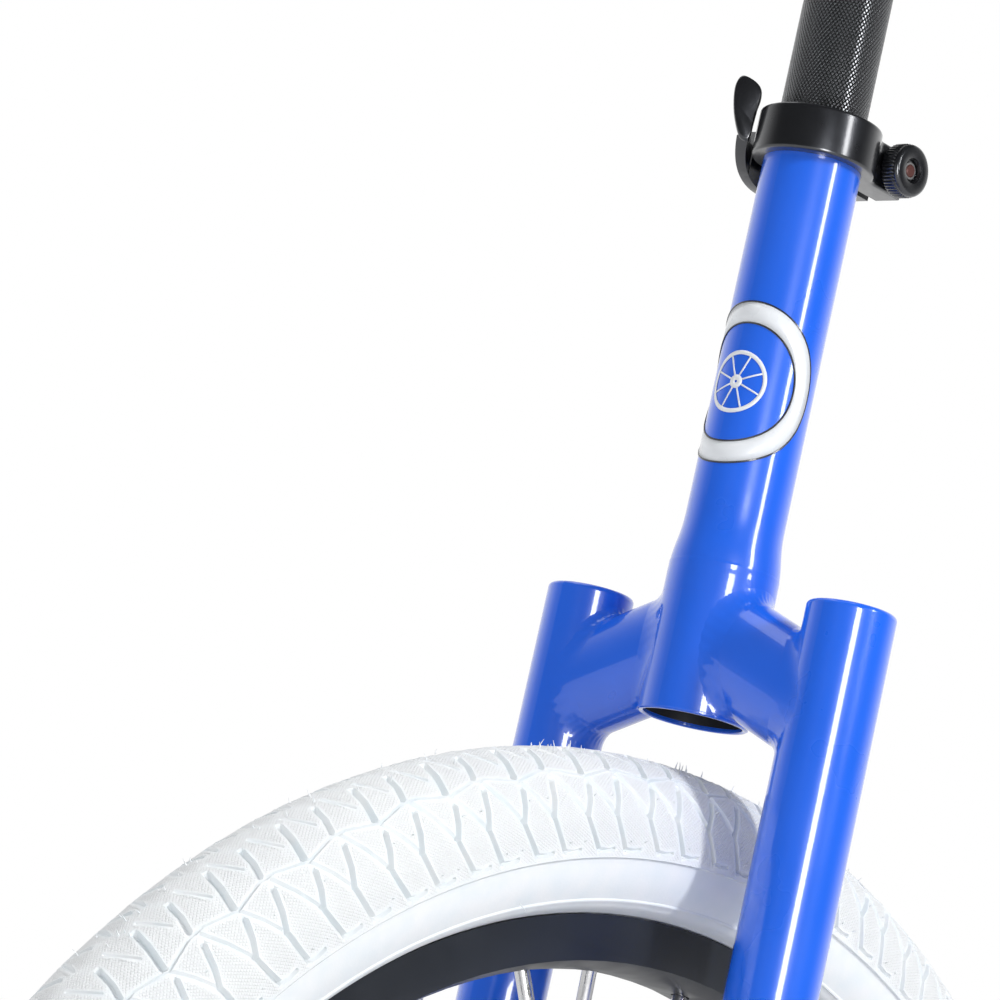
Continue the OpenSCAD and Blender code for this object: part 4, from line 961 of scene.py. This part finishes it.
def seams(pad):
    """The welts along the saddle's sides, sewn where its top meets its sides."""
    low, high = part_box("saddle_cover")
    for side, name in ((1, "saddle_welt_left"), (-1, "saddle_welt_right")):
        points = []
        for share in (0.07 + 0.86 * k / 89 for k in range(90)):
            x, y = low.x + (high.x - low.x) * share, side * (high.y + 30 * MM)
            for z in np.linspace(low.z, high.z + 10 * MM, 60):
                hit, place, normal, _ = pad.ray_cast(Vector((x, y, z)), Vector((0, -side, 0)))
                if hit and normal.z > 0.28:
                    points.append(place + normal * 0.3 * MM)
                    break
        near = [points[max(0, i - 4):i + 5] for i in range(len(points))]
        line = [sum(few, Vector()) / len(few) for few in near]
        last = len(line) - 1
        # The welt tapers to nothing at both ends.
        radii = [1.5 * MM * math.sqrt(min(1, 0.01 + min(k, last - k) / 8))
                 for k in range(len(line))]
        piece = piece_from(name, *tube_along(line, radii, 10, closed=False))
        finish_piece(piece, "saddle", "saddle_vinyl", thread_black)


# ---------- pedals ----------

def pedal_pins(body):
    """The grip pins on a pedal's two faces."""
    low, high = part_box(body + "_body")
    profile = ((2.2, -0.5), (2.2, 0.0), (1.3, 0.9), (0.6, 1.3), (0.02, 1.35))
    vertices, faces = [], []
    for x in (low.x + 4.5 * MM, high.x - 4.5 * MM):
        for k in range(6):
            y = low.y + (high.y - low.y) * (0.08 + 0.84 * k / 5)
            for z, way in ((high.z, 1), (low.z, -1)):
                rings = [around(r * MM, z + way * h * MM, 10, x, y) for r, h in profile]
                extend(vertices, faces, lathe(rings, closed=False))
    finish_piece(piece_from(body + "_pins", vertices, faces), body, "black_plastic")


# ---------- putting it together ----------

tyre()
mould_hairs()
collar_ends = (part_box("clamp_collar")[0].z, COLLAR_TOP_Z)
# Only the collar's outer edges are rounded, and not beside its slot.
rounded("clamp_collar", 1.0 * MM, 4, where=lambda p: Vector((p.x, p.y)).length > 16.5 * MM
        and min(abs(p.z - z) for z in collar_ends) < 0.1 * MM
        and (p.x > 0 or abs(p.y) > 2 * MM))
neck_ends()
clamp_lever()
rounded("clamp_shoe", 0.2 * MM, 2)
knurled_nut()
stud_end()
knurled_post()
post_plate()
for width, segments, which in (
        (0.8, 3, ("left_bearing_seat", "right_bearing_seat", "left_bearing_cap",
                  "right_bearing_cap")),
        (1.6, 3, ("left_crank", "right_crank")),
        (0.9, 2, ("left_pedal_body", "right_pedal_body")),
        (0.35, 2, ("rim", "valve_cap", "crank_dust_caps", "bearing_cap_bolts", "hub_shell",
                   "left_pedal_reflectors", "right_pedal_reflectors", "saddle_nuts")),
        (1.1, 2, ("front_bumper", "rear_bumper"))):
    for node in which:
        rounded(node, width * MM, segments)
for side, word in ((1, "left"), (-1, "right")):
    pedal_pins(word + "_pedal")
    weld_fillet(word + "_neck_weld", side, False)
    weld_fillet(word + "_leg_weld", side, True)
    weld_bead(word + "_seat_weld", ring_joint(side), 1.6 * MM, "frame")
decal()
seams(cushion())

for name, node in nodes.items():
    node.data.materials.clear()
    node.data.materials.append(materials[slot_of[name]])


# ---------- stage, light and camera ----------

def backdrop_world():
    """White to the camera and in reflections, and soft grey light on everything else."""
    world = bpy.data.worlds.new("studio")
    bpy.context.scene.world = world
    world.use_nodes = True
    shade = world.node_tree.nodes["Background"]
    shade.inputs["Color"].default_value = (1, 1, 1, 1)
    rays = add(world, "ShaderNodeLightPath").outputs
    seen = math_node(world, "MAXIMUM", rays["Is Camera Ray"], rays["Is Glossy Ray"])
    seen = math_node(world, "MAXIMUM", seen, rays["Is Transmission Ray"])
    level = span(world, seen, 0.68, 1.0, 0, 1)
    # The room's dark side, in front of the unicycle, shows only in glossy surfaces.
    way = add(world, "ShaderNodeTexCoord").outputs["Generated"]
    facing = add(world, "ShaderNodeVectorMath", {0: way, 1: (0.68, 0.66, 0.32)},
                 operation="DOT_PRODUCT").outputs["Value"]
    dark = span(world, facing, 0, 0.93, -0.6, 0.2, interpolation_type="SMOOTHSTEP")
    dim = math_node(world, "MULTIPLY", dark, rays["Is Glossy Ray"])
    left = math_node(world, "SUBTRACT", 1.0, dim)
    link(world, math_node(world, "MULTIPLY", left, level), shade.inputs["Strength"])


def area_light(name, place, target, width, height, power):
    data = bpy.data.lights.new(name, "AREA")
    data.shape = "RECTANGLE"
    data.size, data.size_y = width, height
    data.energy = power
    lamp = placed(name, data)
    lamp.location = place
    lamp.visible_camera = False
    lamp.rotation_mode = "QUATERNION"
    lamp.rotation_quaternion = (Vector(target) - Vector(place)).to_track_quat("-Z", "Y")
    return lamp


def floor():
    """A pale floor. To the camera and in reflections it is whiter than it is lit."""
    size = 6.0
    material = surface("floor_white", (0.80, 0.80, 0.80), spread=0.01, scale=3, rough=(0.6, 0.7))
    shader = material.node_tree.nodes["Principled BSDF"]
    out = material.node_tree.nodes["Material Output"]
    white = add(material, "ShaderNodeEmission", {"Strength": 1.0})
    rays = add(material, "ShaderNodeLightPath")
    seen = math_node(material, "MULTIPLY", rays.outputs["Is Camera Ray"], 0.35)
    mirrored = math_node(material, "MULTIPLY", rays.outputs["Is Glossy Ray"], 0.6)
    share = math_node(material, "ADD", seen, mirrored)
    both = add(material, "ShaderNodeMixShader", {"Fac": share})
    link(material, shader.outputs["BSDF"], both.inputs[1])
    link(material, white.outputs["Emission"], both.inputs[2])
    link(material, both.outputs["Shader"], out.inputs["Surface"])
    vertices = [(x * size, y * size, -0.0005) for x, y in ((-1, -1), (1, -1), (1, 1), (-1, 1))]
    plane = piece_from("floor", vertices, [(0, 1, 2, 3)])
    plane.data.materials.append(material)


CAMERA_AZIMUTH = 44.42            # degrees from +X towards +Y


def camera():
    """A long lens in front and to the left, a little below the crown and tilted to one side."""
    azimuth, elevation, roll = (math.radians(a) for a in (CAMERA_AZIMUTH, -10.437, 12.838))
    aim = HUB + Vector((94.747, 0, 304.391)) * MM
    distance = 1083.145 * MM
    out = Vector((math.cos(azimuth) * math.cos(elevation),
                  math.sin(azimuth) * math.cos(elevation), math.sin(elevation)))
    right = (-out).cross(Vector((0, 0, 1))).normalized()
    up = right.cross(-out)
    rolled_right = right * math.cos(roll) + up * math.sin(roll)
    rolled_up = up * math.cos(roll) - right * math.sin(roll)
    data = bpy.data.cameras.new("camera")
    data.sensor_width = 36
    data.lens = 146.76
    data.clip_start = 0.05
    data.clip_end = 30
    seat = placed("camera", data)
    turn = Matrix((rolled_right, rolled_up, out)).transposed()
    seat.matrix_world = Matrix.Translation(aim + out * distance) @ turn.to_4x4()
    bpy.context.scene.camera = seat
    return rolled_right, rolled_up, out, aim


right, up, out, aim = camera()
backdrop_world()
floor()
key = area_light("key", aim + out * 0.9 + right * 1.5 + up * 0.75, aim, 0.14, 0.4, 23)
fill = area_light("fill", aim + out * 1.4 - right * 0.9 + up * 0.6, aim, 0.5, 0.9, 3)
for lamp in (key, fill):
    lamp.visible_glossy = False
area_light("top", (0.3, -0.4, 2.4), HUB, 1.4, 1.4, 10)
# Two strips that show only as highlights: a low one on the legs, a high one on the neck and post.
for name, turn, height, wide, tall in (("leg_strip", 13, 0.5, 0.34, 0.75),
                                       ("neck_strip", 50, 1.18, 0.22, 0.64)):
    bearing = math.radians(CAMERA_AZIMUTH + turn)
    place = Vector((1.5 * math.cos(bearing), 1.5 * math.sin(bearing), height))
    strip = area_light(name, place, (0, 0, height), wide, tall, 60 * wide * tall)
    strip.visible_diffuse = False
bpy.context.scene.view_settings.view_transform = "Standard"
